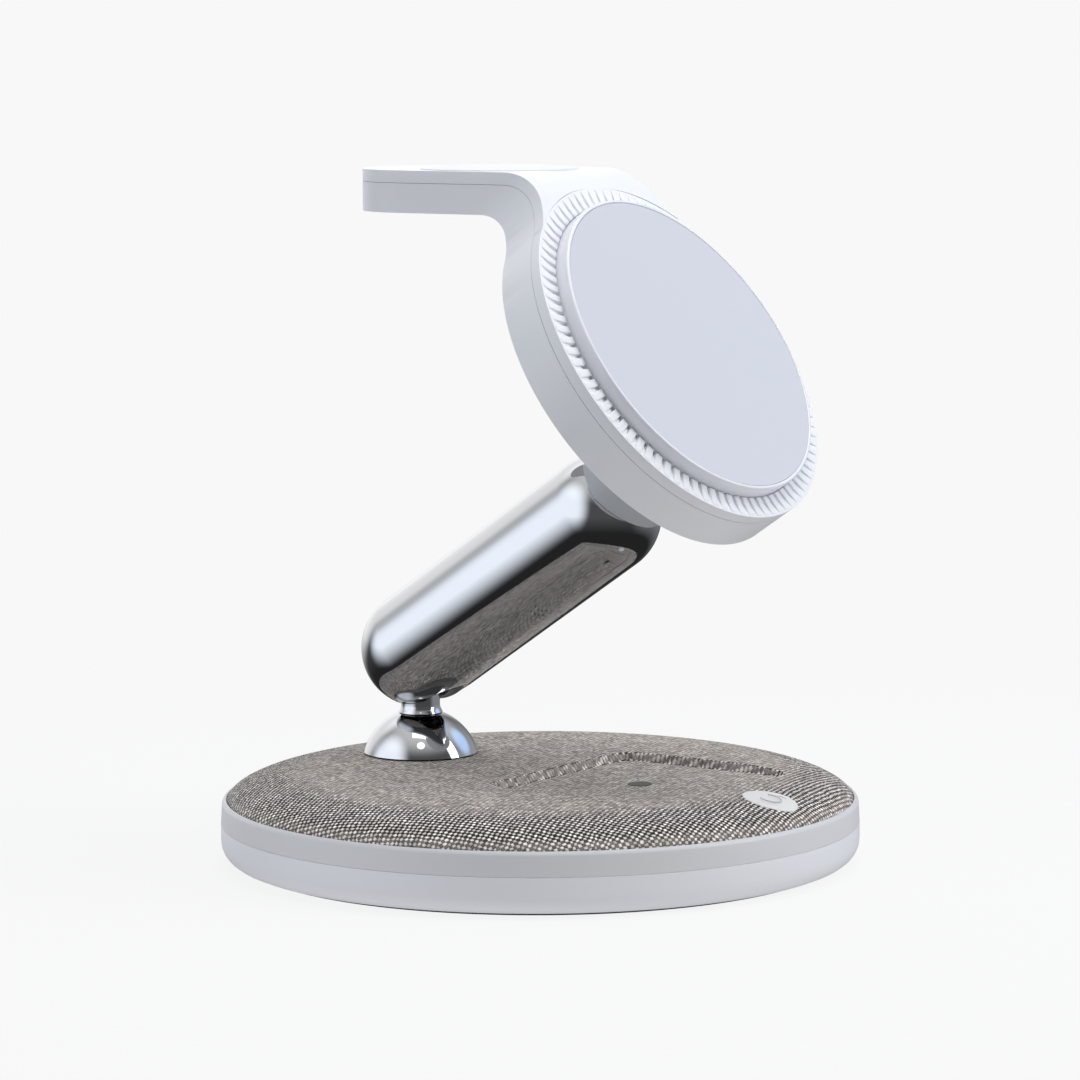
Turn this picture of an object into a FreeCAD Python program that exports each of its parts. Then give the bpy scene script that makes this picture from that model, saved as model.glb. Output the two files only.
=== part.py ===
import math
import os

import FreeCAD
import Part

from FreeCAD import Vector

# Folding charging stand in millimetres, +Z up, +Y to the back, origin at the centre of the base's underside.
# A weighted round base carries a swivelling neck, a capsule arm and a round head with a watch shelf.

# Base housing
BASE_R = 55.0
FOOT_LIFT = 0.5
FLOOR_T = 2.0
SHELL_WALL = 2.2
UNDER_FILLET = 3.6
TRIM_H = 3.65
LIP_LAND = 1.0
LIP_DRAFT = 0.2
LIP_ROUND = 0.35
LEDGE_DEPTH = 1.65
SPIGOT_DEPTH = 1.5
SPIGOT_T = 1.2
JOIN_GAP = 0.05
ROOM_GAP = 0.25

# Crowned top with its fabric
SHOULDER_RUN = 21.7
CROWN_RISE = 5.5
FABRIC_T = 1.0
DECK_T = 2.4
POCKET_R = 20.7
POCKET_DEPTH = 1.3
POCKET_SLOPE = 1.5
MARK_R = 2.1
MARK_T = 0.15
KEY_R = 4.85
KEY_EDGE = 1.75
KEY_TO_POCKET = 1.15
KEY_PROUD = 0.2

# Parts inside the base
FOOT_RING_INSET = 4.5
FOOT_RING_W = 11.0
FOOT_RING_SUNK = 0.8
WEIGHT_GAP = 1.5
WEIGHT_BORE_R = 12.0
WEIGHT_T = 3.2
COIL_T = 1.2
FERRITE_T = 0.8
FERRITE_MARGIN = 1.0
EARBUD_COIL_INSET = 2.7
EARBUD_COIL_BORE_R = 7.0
SENSOR_R = 3.5
SENSOR_T = 0.8
SENSOR_SHIFT = 1.5
BOARD_W = 28.0
BOARD_L = 22.0
BOARD_INSET = 9.0
BOARD_TONGUE_W = 11.0
BOARD_LAP = 3.0
BOARD_T = 1.2
BOARD_POST_R = 1.8
BOARD_POST_INSET = 3.0
PORT_W = 8.94
PORT_H = 3.26
PORT_L = 7.35
PORT_SHELL_T = 0.3
PORT_BACK_T = 1.2
PORT_TONGUE_W = 6.7
PORT_TONGUE_T = 0.7
PORT_TONGUE_SHORT = 1.1
PORT_OVER_FLOOR = 0.37
PORT_BRIDGE = 0.62
PORT_SUNK = 0.3
SCREW_INSET = 10.0
SCREW_ANGLES_DEG = (35.0, 145.0, 215.0, 325.0)
SCREW_R = 1.5
SCREW_BITE = 3.5
SCREW_HEAD_R = 2.6
SCREW_HEAD_H = 1.6
SOCKET_R = 0.9
SOCKET_DEPTH = 1.0
BOSS_WALL = 2.0
POST_H = 3.1

# Swivelling dome and neck
SWIVEL_INSET = 6.7
DOME_R = 10.4
DOME_SUNK = 2.55
DOME_GAP = 0.3
SPINDLE_R = 6.0
RUN_GAP = 0.05
WASHER_INSET = 2.0
SPRING_WASHER_T = 0.7
NUT_R = 9.0
NUT_T = 2.2
NECK_R = 3.4
NECK_SHANK_R = 2.5
NECK_SHANK_L = 9.0
SHANK_END_GAP = 0.5
EYE_R = 4.4
NECK_FLAT = 0.6

# Capsule arm
ARM_R = 10.3
ARM_WALL = 1.2
ARM_L = 46.25
ARM_ELEV_DEG = 33.8
ARM_ELEV_MIN_DEG = 0.0
ARM_ELEV_MAX_DEG = 40.0
NECK_SHOW = 0.97
NECK_SLOT_GAP = 0.6
SLOT_FLARE = 0.8
PIN_R = 2.0
PIN_RECESS = 0.55
FORK_WEB_T = 1.95
FORK_CHEEK_GAP = 0.35
FRICTION_WASHER_INSET = 0.3

# Head hinge
HEAD_ELEV_DEG = 33.84
HEAD_TILT_DOWN_DEG = 18.0
HEAD_TILT_UP_DEG = 55.0
TONGUE_R = 2.7
TONGUE_FLAT = 0.2
FLANGE_R = 11.0
FLANGE_T = 2.0
FLANGE_EDGE = 2.75
BOSS_R = 8.2
BOSS_TILT_DEG = 14.0
BOSS_TOP_Y = 6.8
BOSS_FLOOR_Z = 3.1
CUP_GAP = 0.35

# Head housing
HINGE_TO_RING = 29.5
HINGE_EDGE = 17.6
HEAD_R = 32.25
HEAD_ROOM = 1.0
COVER_T = 2.1
HEAD_WALL = 1.8
PUCK_BORDER = 1.55
STRAP_BLEND_R = 17.0
SHELF_OVER_RING = 2.864
SHELF_T = 7.2
SHELF_REACH = 29.62
BEND_OUTER_R = 10.6
BEND_INNER_R = 8.0
COVER_END_T = 0.15
EDGE_ROUND = 0.8

# Phone pad and its ribbed grip ring
GRIP_W = 3.95
PAD_PROUD = 2.45
BEZEL_WALL = 0.65
BEZEL_FLOOR_T = 0.8
BEZEL_ROUND = 0.4
FACE_T = 1.75
FACE_SUNK = 0.1
RIB_COUNT = 90
RIB_W = 1.15
RIB_H = 0.6
RIB_INSET = 0.5
MAGNET_GAP = 0.45
MAGNET_W = 4.5
COIL_GAP = 1.7
PHONE_COIL_BORE_R = 9.0
CHASSIS_T = 1.2
CHASSIS_GAP = 0.2
CHASSIS_INSET = 7.75
CHASSIS_BOSS_R = 2.4
HEAD_BOARD_GAP = 1.4
HEAD_BOARD_H = 13.0
HEAD_BOARD_T = 1.0
HEAD_BOARD_Y = 11.15
HEAD_SCREW_R = 1.0
HEAD_SCREW_CAP_R = 1.8
HEAD_SCREW_CAP_H = 0.95
SCREW_TIP_SKIN = 0.55

# Watch puck
PUCK_R = 13.6
PUCK_FROM_END = 10.4
PUCK_RIM = 0.3
PUCK_CROWN = 0.65
WATCH_COIL_INSET = 2.6
WATCH_COIL_BORE_R = 4.0
WATCH_MAGNET_R = 3.2

X_AXIS = Vector(1, 0, 0)
Y_AXIS = Vector(0, 1, 0)
Z_AXIS = Vector(0, 0, 1)
REACH = 90.0
PAST = 1.0
TOUCH = 0.01

FLOOR_Z = FOOT_LIFT + FLOOR_T
PORT_Z = FLOOR_Z + PORT_OVER_FLOOR + PORT_H / 2
SEAM_Z = PORT_Z + PORT_H / 2 + ROOM_GAP + PORT_BRIDGE
LIP_Z = SEAM_Z + TRIM_H
LEDGE_Z = LIP_Z - LEDGE_DEPTH
CROWN_R = BASE_R - LIP_LAND
CROWN_FLAT_R = CROWN_R - SHOULDER_RUN
CROWN_TOP_Z = LIP_Z + CROWN_RISE
DECK_TOP_Z = CROWN_TOP_Z - FABRIC_T
DECK_UNDER_Z = DECK_TOP_Z - DECK_T
KEY_Y = KEY_EDGE + KEY_R - CROWN_R
POCKET_Y = KEY_Y + KEY_R + KEY_TO_POCKET + POCKET_R
POCKET_UNDER_Z = CROWN_TOP_Z - POCKET_DEPTH - FABRIC_T - DECK_T
EARBUD_COIL_R = POCKET_R - EARBUD_COIL_INSET
FOOT_RING_R = BASE_R - FOOT_RING_INSET
SCREW_PITCH_R = BASE_R - SCREW_INSET
WEIGHT_R = SCREW_PITCH_R - SCREW_R - BOSS_WALL - WEIGHT_GAP
POST_TOP_Z = FLOOR_Z + POST_H
BOARD_Y1 = BASE_R - BOARD_INSET
BOARD_Y0 = BOARD_Y1 - BOARD_L
BOARD_Z = PORT_Z + PORT_H / 2 + JOIN_GAP
SWIVEL_Y = CROWN_FLAT_R - SWIVEL_INSET
DOME_Z = CROWN_TOP_Z - DOME_SUNK
DOME_UNDER_Z = CROWN_TOP_Z + DOME_GAP
WASHER_R = DOME_R - WASHER_INSET
NECK_BASE_Z = DOME_Z + math.sqrt(DOME_R ** 2 - NECK_R ** 2)
LOWER_PIVOT_Z = NECK_BASE_Z + NECK_SHOW + ARM_R
ARM_TURN_DEG = 90.0 - ARM_ELEV_DEG
HEAD_TURN_DEG = 90.0 - HEAD_ELEV_DEG
FORK_R = ARM_R - ARM_WALL - JOIN_GAP
FORK_REACH = EYE_R + FORK_CHEEK_GAP + FORK_WEB_T
PIN_L = 2 * (FORK_R - PIN_RECESS)
LOWER_EYE_W = 2 * (NECK_R - NECK_FLAT)
UPPER_EYE_W = 2 * (TONGUE_R - TONGUE_FLAT)
LOWER_GAP_HALF = NECK_R + FORK_CHEEK_GAP
UPPER_GAP_HALF = TONGUE_R + FORK_CHEEK_GAP
HEAD_T = COVER_T + CHASSIS_T + HEAD_ROOM + HEAD_SCREW_CAP_H + FLANGE_T + HEAD_WALL
PAD_R = HEAD_R - GRIP_W
HINGE_DROP = HEAD_R - HINGE_EDGE
MAGNET_R = PAD_R - BEZEL_WALL - MAGNET_GAP
PHONE_COIL_R = MAGNET_R - MAGNET_W - COIL_GAP
CHASSIS_PITCH_R = HEAD_R - CHASSIS_INSET
STRAP_HALF_W = PUCK_R + PUCK_BORDER
WATCH_COIL_R = PUCK_R - WATCH_COIL_INSET
LOWER_PIVOT = Vector(0, SWIVEL_Y, LOWER_PIVOT_Z)
NECK_FAN_DEG = (180.0 + ARM_ELEV_MIN_DEG, 180.0 + ARM_ELEV_MAX_DEG)


def direction(elevation):
    """Unit vector in the symmetry plane, raised from the front."""
    angle = math.radians(elevation)
    return Vector(0, -math.cos(angle), math.sin(angle))


UPPER_PIVOT = LOWER_PIVOT + direction(ARM_ELEV_DEG) * ARM_L
HEAD_NORMAL = direction(HEAD_ELEV_DEG)
HEAD_UP = direction(HEAD_ELEV_DEG + 90.0)
RING_CENTRE = UPPER_PIVOT + HEAD_NORMAL * HINGE_TO_RING + HEAD_UP * HINGE_DROP
RING_TOP = RING_CENTRE + HEAD_UP * HEAD_R
SHELF_TOP_Z = RING_TOP.z + SHELF_OVER_RING
SHELF_ROUND_Y = RING_TOP.y + SHELF_REACH
PUCK_Y = SHELF_ROUND_Y - PUCK_FROM_END


def cylinder(radius, z0, z1, x=0.0, y=0.0):
    return Part.makeCylinder(radius, z1 - z0, Vector(x, y, z0), Z_AXIS)


def ring(outer, inner, z0, z1, x=0.0, y=0.0):
    return cylinder(outer, z0, z1, x, y).cut(cylinder(inner, z0, z1, x, y))


def box(width, y0, y1, z0, z1):
    return Part.makeBox(width, y1 - y0, z1 - z0, Vector(-width / 2, y0, z0))


def fused(first, *others):
    return first.fuse(list(others)).removeSplitter()


def polygon(points):
    return Part.makePolygon([Vector(*p) for p in points] + [Vector(*points[0])])


def revolved(wire):
    return Part.Face(wire).revolve(Vector(0, 0, 0), Z_AXIS, 360)


def turned(points):
    """Solid turned about Z from radius and height pairs."""
    return revolved(polygon([(r, 0, z) for r, z in points]))


def on_arm(shape):
    """Moves a shape built along Z at the lower pivot onto the arm's axis."""
    shape.rotate(Vector(0, 0, 0), X_AXIS, ARM_TURN_DEG)
    shape.translate(LOWER_PIVOT)
    return shape


def on_head(shape):
    """Moves a shape built with the ring plane at z = 0 onto the head."""
    shape.rotate(Vector(0, 0, 0), X_AXIS, HEAD_TURN_DEG)
    shape.translate(RING_CENTRE)
    return shape


def screw_points():
    for angle in SCREW_ANGLES_DEG:
        a = math.radians(angle)
        yield SCREW_PITCH_R * math.cos(a), SCREW_PITCH_R * math.sin(a)


def rounded_slot(width, height, y0, y1, z):
    """Bar along Y with half-round sides, for the port and its opening."""
    reach = (width - height) / 2
    bar = box(2 * reach, y0, y1, z - height / 2, z + height / 2)
    ends = [Part.makeCylinder(height / 2, y1 - y0, Vector(s * reach, y0, z), Y_AXIS) for s in (-1, 1)]
    return fused(bar, *ends)


# Base housing

def base_lower_shell():
    inner = BASE_R - SHELL_WALL
    low = FOOT_LIFT
    mid = UNDER_FILLET * (1 - math.sqrt(0.5))
    edge = [
        Part.makeLine(Vector(0, 0, low), Vector(BASE_R - UNDER_FILLET, 0, low)),
        Part.Arc(
            Vector(BASE_R - UNDER_FILLET, 0, low),
            Vector(BASE_R - mid, 0, low + mid),
            Vector(BASE_R, 0, low + UNDER_FILLET)).toShape(),
        Part.makeLine(Vector(BASE_R, 0, low + UNDER_FILLET), Vector(BASE_R, 0, SEAM_Z)),
        Part.makeLine(Vector(BASE_R, 0, SEAM_Z), Vector(inner, 0, SEAM_Z)),
        Part.makeLine(Vector(inner, 0, SEAM_Z), Vector(inner, 0, FLOOR_Z)),
        Part.makeLine(Vector(inner, 0, FLOOR_Z), Vector(0, 0, FLOOR_Z)),
        Part.makeLine(Vector(0, 0, FLOOR_Z), Vector(0, 0, low))]
    shell = revolved(Part.Wire(edge))
    posts = [cylinder(SCREW_R + BOSS_WALL, FLOOR_Z, POST_TOP_Z, x, y) for x, y in screw_points()]
    shell = fused(shell, *posts)
    cuts = [ring(FOOT_RING_R, FOOT_RING_R - FOOT_RING_W, low, low + FOOT_RING_SUNK)]
    head_top = low + FOOT_RING_SUNK + SCREW_HEAD_H
    for x, y in screw_points():
        cuts.append(cylinder(SCREW_HEAD_R + ROOM_GAP, low, head_top, x, y))
        cuts.append(cylinder(SCREW_R + JOIN_GAP, low, POST_TOP_Z, x, y))
    port_w = PORT_W + 2 * ROOM_GAP
    port_h = PORT_H + 2 * ROOM_GAP
    cuts.append(rounded_slot(port_w, port_h, inner - PAST, BASE_R + PAST, PORT_Z))
    return shell.cut(cuts)


def base_trim_ring():
    inner = BASE_R - SHELL_WALL - JOIN_GAP
    seat = CROWN_R + JOIN_GAP
    body = turned([
        (BASE_R, SEAM_Z),
        (BASE_R - LIP_DRAFT, LIP_Z - LIP_ROUND),
        (BASE_R - LIP_DRAFT - LIP_ROUND, LIP_Z),
        (seat, LIP_Z),
        (seat, LEDGE_Z),
        (inner - SPIGOT_T, LEDGE_Z),
        (inner - SPIGOT_T, SEAM_Z - SPIGOT_DEPTH),
        (inner, SEAM_Z - SPIGOT_DEPTH),
        (inner, SEAM_Z)])
    room_w = BOARD_TONGUE_W + 2 * ROOM_GAP
    room_top = BOARD_Z + BOARD_T + ROOM_GAP
    return body.cut(box(room_w, 0, inner + JOIN_GAP, SEAM_Z - SPIGOT_DEPTH, room_top))


def crown_volume(drop):
    """Volume under the crown, lowered and drawn in by the drop, with the earbud pocket taken out."""
    radius = CROWN_R - drop
    top = CROWN_TOP_Z - drop
    foot = top - CROWN_RISE
    centre = Vector(CROWN_FLAT_R, 0, foot)
    shoulder = Part.Ellipse(Vector(radius, 0, foot), Vector(CROWN_FLAT_R, 0, top), centre)
    edges = [
        Part.Arc(shoulder, 0, math.pi / 2).toShape(),
        Part.makeLine(Vector(CROWN_FLAT_R, 0, top), Vector(0, 0, top)),
        Part.makeLine(Vector(0, 0, top), Vector(0, 0, 0)),
        Part.makeLine(Vector(0, 0, 0), Vector(radius, 0, 0)),
        Part.makeLine(Vector(radius, 0, 0), Vector(radius, 0, foot))]
    solid = revolved(Part.Wire(Part.__sortEdges__(edges)))
    solid = solid.common(cylinder(BASE_R, LEDGE_Z + JOIN_GAP, top))
    floor_r = POCKET_R + drop - POCKET_SLOPE
    mouth_r = floor_r + 2 * POCKET_SLOPE
    floor = Vector(0, POCKET_Y, top - POCKET_DEPTH)
    return solid.cut(Part.makeCone(floor_r, mouth_r, 2 * POCKET_DEPTH, floor, Z_AXIS))


def key_column(radius, drop, rise):
    """Round column that follows the crown between two depths, where the touch key sits."""
    column = cylinder(radius, LEDGE_Z, CROWN_TOP_Z + PAST, 0, KEY_Y)
    return column.common(crown_volume(-rise)).cut(crown_volume(drop))


def base_deck():
    """Crowned deck with a boss over each screw post and a flat seat round the spindle's bore."""
    crown = crown_volume(FABRIC_T)
    deck = crown.cut(crown_volume(FABRIC_T + DECK_T))
    boss_r = SCREW_R + BOSS_WALL
    foot = POST_TOP_Z + JOIN_GAP
    tops = [cylinder(boss_r, LEDGE_Z, CROWN_TOP_Z, x, y).common(crown) for x, y in screw_points()]
    feet = [cylinder(boss_r, foot, LEDGE_Z + 2 * JOIN_GAP, x, y) for x, y in screw_points()]
    seat_r = NUT_R + ROOM_GAP
    seat = cylinder(seat_r, DECK_UNDER_Z, DECK_TOP_Z, 0, SWIVEL_Y)
    deck = fused(deck, seat, *tops, *feet)
    cuts = [
        cylinder(seat_r, LEDGE_Z, DECK_UNDER_Z, 0, SWIVEL_Y),
        cylinder(SPINDLE_R + RUN_GAP, LEDGE_Z, CROWN_TOP_Z, 0, SWIVEL_Y)]
    for x, y in screw_points():
        cuts.append(cylinder(SCREW_R + JOIN_GAP, POST_TOP_Z, POST_TOP_Z + SCREW_BITE + 2 * ROOM_GAP, x, y))
    return deck.cut(cuts)


def fabric_cover():
    """One cloth skin over the crown, cut out for the swivel and the touch key and let in for the mark."""
    sheet = crown_volume(0).cut(crown_volume(FABRIC_T - JOIN_GAP))
    swivel_hole = cylinder(WASHER_R + ROOM_GAP, LEDGE_Z, CROWN_TOP_Z + PAST, 0, SWIVEL_Y)
    key_hole = cylinder(KEY_R + JOIN_GAP, LEDGE_Z, CROWN_TOP_Z + PAST, 0, KEY_Y)
    floor = CROWN_TOP_Z - POCKET_DEPTH
    mark_seat = cylinder(MARK_R + JOIN_GAP, floor - MARK_T, floor + MARK_T, 0, POCKET_Y)
    return sheet.cut([swivel_hole, key_hole, mark_seat])


def touch_key():
    return key_column(KEY_R, FABRIC_T - JOIN_GAP, KEY_PROUD)


def earbud_pad_mark():
    floor = CROWN_TOP_Z - POCKET_DEPTH
    return cylinder(MARK_R, floor - MARK_T, floor, 0, POCKET_Y)


def counterweight():
    """Steel plate ring with a notch at the back for the board."""
    z0 = FLOOR_Z + JOIN_GAP
    plate = ring(WEIGHT_R, WEIGHT_BORE_R, z0, z0 + WEIGHT_T)
    return plate.cut(box(BOARD_W + 2 * ROOM_GAP, BOARD_Y0 - ROOM_GAP, BASE_R, z0, z0 + WEIGHT_T))


def anti_slip_ring():
    return ring(FOOT_RING_R - JOIN_GAP, FOOT_RING_R - FOOT_RING_W + JOIN_GAP, 0, FOOT_LIFT + FOOT_RING_SUNK)


def earbud_coil():
    top = POCKET_UNDER_Z - JOIN_GAP
    return ring(EARBUD_COIL_R, EARBUD_COIL_BORE_R, top - COIL_T, top, 0, POCKET_Y)


def earbud_ferrite():
    top = POCKET_UNDER_Z - JOIN_GAP - COIL_T
    return cylinder(EARBUD_COIL_R + FERRITE_MARGIN, top - FERRITE_T, top, 0, POCKET_Y)


def touch_sensor():
    inside = crown_volume(FABRIC_T + DECK_T + JOIN_GAP)
    slab = cylinder(SENSOR_R, LEDGE_Z, CROWN_TOP_Z, 0, KEY_Y + SENSOR_SHIFT)
    under = crown_volume(FABRIC_T + DECK_T + JOIN_GAP + SENSOR_T)
    return slab.common(inside).cut(under)


def main_board():
    z1 = BOARD_Z + BOARD_T
    end = BASE_R - PORT_SUNK - PORT_L + BOARD_LAP
    board = box(BOARD_W, BOARD_Y0, BOARD_Y1, BOARD_Z, z1)
    return fused(board, box(BOARD_TONGUE_W, BOARD_Y0, end, BOARD_Z, z1))


def board_posts_xy():
    for side in (-1, 1):
        for y in (BOARD_Y0 + BOARD_POST_INSET, BOARD_Y1 - BOARD_POST_INSET):
            yield side * (BOARD_W / 2 - BOARD_POST_INSET), y


def board_standoffs():
    z0 = FLOOR_Z + JOIN_GAP
    posts = [cylinder(BOARD_POST_R, z0, BOARD_Z - JOIN_GAP, x, y) for x, y in board_posts_xy()]
    return Part.makeCompound(posts)


def usb_port():
    """Formed steel shell with the contact tongue inside."""
    y1 = BASE_R - PORT_SUNK
    y0 = y1 - PORT_L
    shell = rounded_slot(PORT_W, PORT_H, y0, y1, PORT_Z)
    inside_w = PORT_W - 2 * PORT_SHELL_T
    inside_h = PORT_H - 2 * PORT_SHELL_T
    shell = shell.cut(rounded_slot(inside_w, inside_h, y0 + PORT_BACK_T, y1 + PAST, PORT_Z))
    half = PORT_TONGUE_T / 2
    return fused(shell, box(PORT_TONGUE_W, y0, y1 - PORT_TONGUE_SHORT, PORT_Z - half, PORT_Z + half))


def base_screws():
    z0 = FOOT_LIFT + FOOT_RING_SUNK + JOIN_GAP
    head_top = FOOT_LIFT + FOOT_RING_SUNK + SCREW_HEAD_H - JOIN_GAP
    screws = []
    for x, y in screw_points():
        head = cylinder(SCREW_HEAD_R, z0, head_top, x, y)
        shank = cylinder(SCREW_R, z0, POST_TOP_Z + SCREW_BITE, x, y)
        socket = cylinder(SOCKET_R, z0, z0 + SOCKET_DEPTH, x, y)
        screws.append(fused(head, shank).cut(socket))
    return Part.makeCompound(screws)


# Swivelling dome and neck

def swivel_dome():
    ball = Part.makeSphere(DOME_R, Vector(0, SWIVEL_Y, DOME_Z))
    keep = cylinder(2 * DOME_R, DOME_UNDER_Z, NECK_BASE_Z, 0, SWIVEL_Y)
    low = DECK_UNDER_Z - SPRING_WASHER_T - NUT_T - 2 * RUN_GAP
    spindle = cylinder(SPINDLE_R, low, DOME_UNDER_Z + PAST, 0, SWIVEL_Y)
    bore_end = NECK_BASE_Z - NECK_SHANK_L - SHANK_END_GAP
    bore = cylinder(NECK_SHANK_R + JOIN_GAP, bore_end, NECK_BASE_Z + PAST, 0, SWIVEL_Y)
    return fused(ball.common(keep), spindle).cut(bore)


def swivel_washer():
    z0 = DECK_TOP_Z + RUN_GAP
    return ring(WASHER_R, SPINDLE_R + RUN_GAP, z0, DOME_UNDER_Z - JOIN_GAP, 0, SWIVEL_Y)


def swivel_spring_washer():
    top = DECK_UNDER_Z - RUN_GAP
    return ring(WASHER_R, SPINDLE_R + RUN_GAP, top - SPRING_WASHER_T, top, 0, SWIVEL_Y)


def swivel_nut():
    top = DECK_UNDER_Z - RUN_GAP - SPRING_WASHER_T - JOIN_GAP
    hexagon = []
    for i in range(6):
        a = math.radians(60 * i)
        hexagon.append((NUT_R * math.cos(a), SWIVEL_Y + NUT_R * math.sin(a), top - NUT_T))
    nut = Part.Face(polygon(hexagon)).extrude(Vector(0, 0, NUT_T))
    return nut.cut(cylinder(SPINDLE_R + JOIN_GAP, top - NUT_T - PAST, top + PAST, 0, SWIVEL_Y))


def neck_stem():
    """Turned neck with a flat-sided eye for the lower hinge pin and a shank for the dome."""
    z1 = LOWER_PIVOT_Z
    shank = cylinder(NECK_SHANK_R, NECK_BASE_Z - NECK_SHANK_L, NECK_BASE_Z + PAST, 0, SWIVEL_Y)
    neck = cylinder(NECK_R, NECK_BASE_Z, z1, 0, SWIVEL_Y)
    flats = box(LOWER_EYE_W, SWIVEL_Y - EYE_R, SWIVEL_Y + EYE_R, z1 - EYE_R, z1 + EYE_R)
    shaft = cylinder(NECK_R, NECK_BASE_Z, z1 - EYE_R, 0, SWIVEL_Y)
    eye = Part.makeCylinder(EYE_R, LOWER_EYE_W, Vector(-LOWER_EYE_W / 2, SWIVEL_Y, z1), X_AXIS)
    solid = fused(shaft, neck.common(flats), eye, shank)
    return solid.cut(pin_bore(LOWER_PIVOT, PIN_R + RUN_GAP))


def pin_bore(centre, radius):
    return Part.makeCylinder(radius, 2 * REACH, centre - X_AXIS * REACH, X_AXIS)


# Capsule arm, built along Z from the lower pivot

def fan(half_width, angle0, angle1, reach):
    """Swept slot of a round bar that turns about the X axis between two angles from +Y towards +Z."""
    bars = []
    for angle in (angle0, angle1):
        a = math.radians(angle)
        along = Vector(0, math.cos(a), math.sin(a))
        bars.append(Part.makeCylinder(half_width, reach, Vector(0, 0, 0), along))
    rim = Part.makeCylinder(reach, 2 * half_width, Vector(-half_width, 0, 0), X_AXIS)
    sides = []
    for i in range(9):
        a = math.radians(angle0 + (angle1 - angle0) * i / 8)
        sides.append((0, 2 * reach * math.cos(a), 2 * reach * math.sin(a)))
    wedge = Part.Face(polygon([(0, 0, 0)] + sides)).extrude(X_AXIS * (2 * half_width))
    wedge.translate(X_AXIS * -half_width)
    return fused(rim.common(wedge), *bars)


def capsule(radius):
    tube = cylinder(radius, 0, ARM_L)
    ends = [Part.makeSphere(radius, Vector(0, 0, z)) for z in (0, ARM_L)]
    return fused(tube, *ends)


def lower_fan(half_width):
    return fan(half_width, NECK_FAN_DEG[0], NECK_FAN_DEG[1], 2 * ARM_R)


def upper_fan(half_width):
    slot = fan(half_width, 90.0 - HEAD_TILT_UP_DEG, 90.0 + HEAD_TILT_DOWN_DEG, 2 * ARM_R)
    slot.translate(Z_AXIS * ARM_L)
    return slot


def arm_casing():
    """Hollow capsule with a rolled-in rim round each slot."""
    casing = capsule(ARM_R).cut(capsule(ARM_R - ARM_WALL))
    casing = casing.cut([lower_fan(NECK_R + NECK_SLOT_GAP), upper_fan(TONGUE_R + FORK_CHEEK_GAP)])
    skin = capsule(ARM_R - TOUCH)
    rims = []
    for edge in casing.Edges:
        middle = edge.valueAt(sum(edge.ParameterRange) / 2)
        near_slot = abs(middle.x) < NECK_R + 2 * NECK_SLOT_GAP
        if near_slot and not skin.isInside(middle, TOUCH / 10, True) and is_sharp(casing, edge):
            rims.append(edge)
    return casing.makeFillet(min(SLOT_FLARE, 0.7 * ARM_WALL), rims)


def is_sharp(shape, edge):
    """True where two faces meet at an angle along an edge."""
    faces = shape.ancestorsOfType(edge, Part.Face)
    if len(faces) < 2:
        return False
    point = edge.valueAt(sum(edge.ParameterRange) / 2)
    first, second = [f.normalAt(*f.Surface.parameter(point)) for f in faces]
    return first.getAngle(second) > 0.2


def arm_shell():
    return on_arm(arm_casing().common(cylinder(2 * ARM_R, -2 * ARM_R, ARM_L)))


def arm_end_cap():
    return on_arm(arm_casing().common(cylinder(2 * ARM_R, ARM_L, ARM_L + 2 * ARM_R)))


def fork_blank(z0, z1):
    return capsule(FORK_R).common(cylinder(2 * ARM_R, z0, z1))


def hinge_gap(half_gap, z):
    """Room for an eye between the two cheeks of a fork."""
    return Part.makeCylinder(EYE_R + FORK_CHEEK_GAP, 2 * half_gap, Vector(-half_gap, 0, z), X_AXIS)


def lower_fork():
    blank = fork_blank(-2 * ARM_R, FORK_REACH)
    bore = pin_bore(Vector(0, 0, 0), PIN_R + JOIN_GAP)
    return on_arm(blank.cut([lower_fan(LOWER_GAP_HALF), hinge_gap(LOWER_GAP_HALF, 0), bore]))


def upper_fork():
    blank = fork_blank(ARM_L - FORK_REACH, ARM_L + 2 * ARM_R)
    bore = pin_bore(Vector(0, 0, ARM_L), PIN_R + JOIN_GAP)
    return on_arm(blank.cut([upper_fan(UPPER_GAP_HALF), hinge_gap(UPPER_GAP_HALF, ARM_L), bore]))


def hinge_pin(centre):
    return Part.makeCylinder(PIN_R, PIN_L, centre - X_AXIS * (PIN_L / 2), X_AXIS)


def friction_washers(centre, eye_width, half_gap):
    inner = eye_width / 2 + RUN_GAP
    thick = half_gap - JOIN_GAP - inner
    pair = []
    for side in (-1, 1):
        start = centre + X_AXIS * (side * inner)
        disc = Part.makeCylinder(EYE_R - FRICTION_WASHER_INSET, thick, start, X_AXIS * side)
        pair.append(disc.cut(pin_bore(centre, PIN_R + JOIN_GAP)))
    return Part.makeCompound(pair)


# Head hinge

def head_tongue():
    """Steel tongue with its eye on the upper pin and its flange screwed inside the head."""
    back = HINGE_TO_RING - HEAD_T + HEAD_WALL + JOIN_GAP
    stem = cylinder(TONGUE_R, 0, back + FLANGE_T / 2)
    keep = box(UPPER_EYE_W, -EYE_R, EYE_R, 0, EYE_R)
    upper = cylinder(TONGUE_R, EYE_R, back + FLANGE_T / 2)
    eye = Part.makeCylinder(EYE_R, UPPER_EYE_W, Vector(-UPPER_EYE_W / 2, 0, 0), X_AXIS)
    flange = cylinder(FLANGE_R, back, back + FLANGE_T)
    solid = fused(eye, stem.common(keep), upper, flange)
    holes = [cylinder(HEAD_SCREW_R + JOIN_GAP, back, back + FLANGE_T, x, y) for x, y in flange_points()]
    return from_hinge(solid.cut([pin_bore(Vector(0, 0, 0), PIN_R + RUN_GAP)] + holes))


def flange_points():
    for i in range(3):
        a = math.radians(90 + 120 * i)
        yield (FLANGE_R - FLANGE_EDGE) * math.cos(a), (FLANGE_R - FLANGE_EDGE) * math.sin(a)


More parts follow.
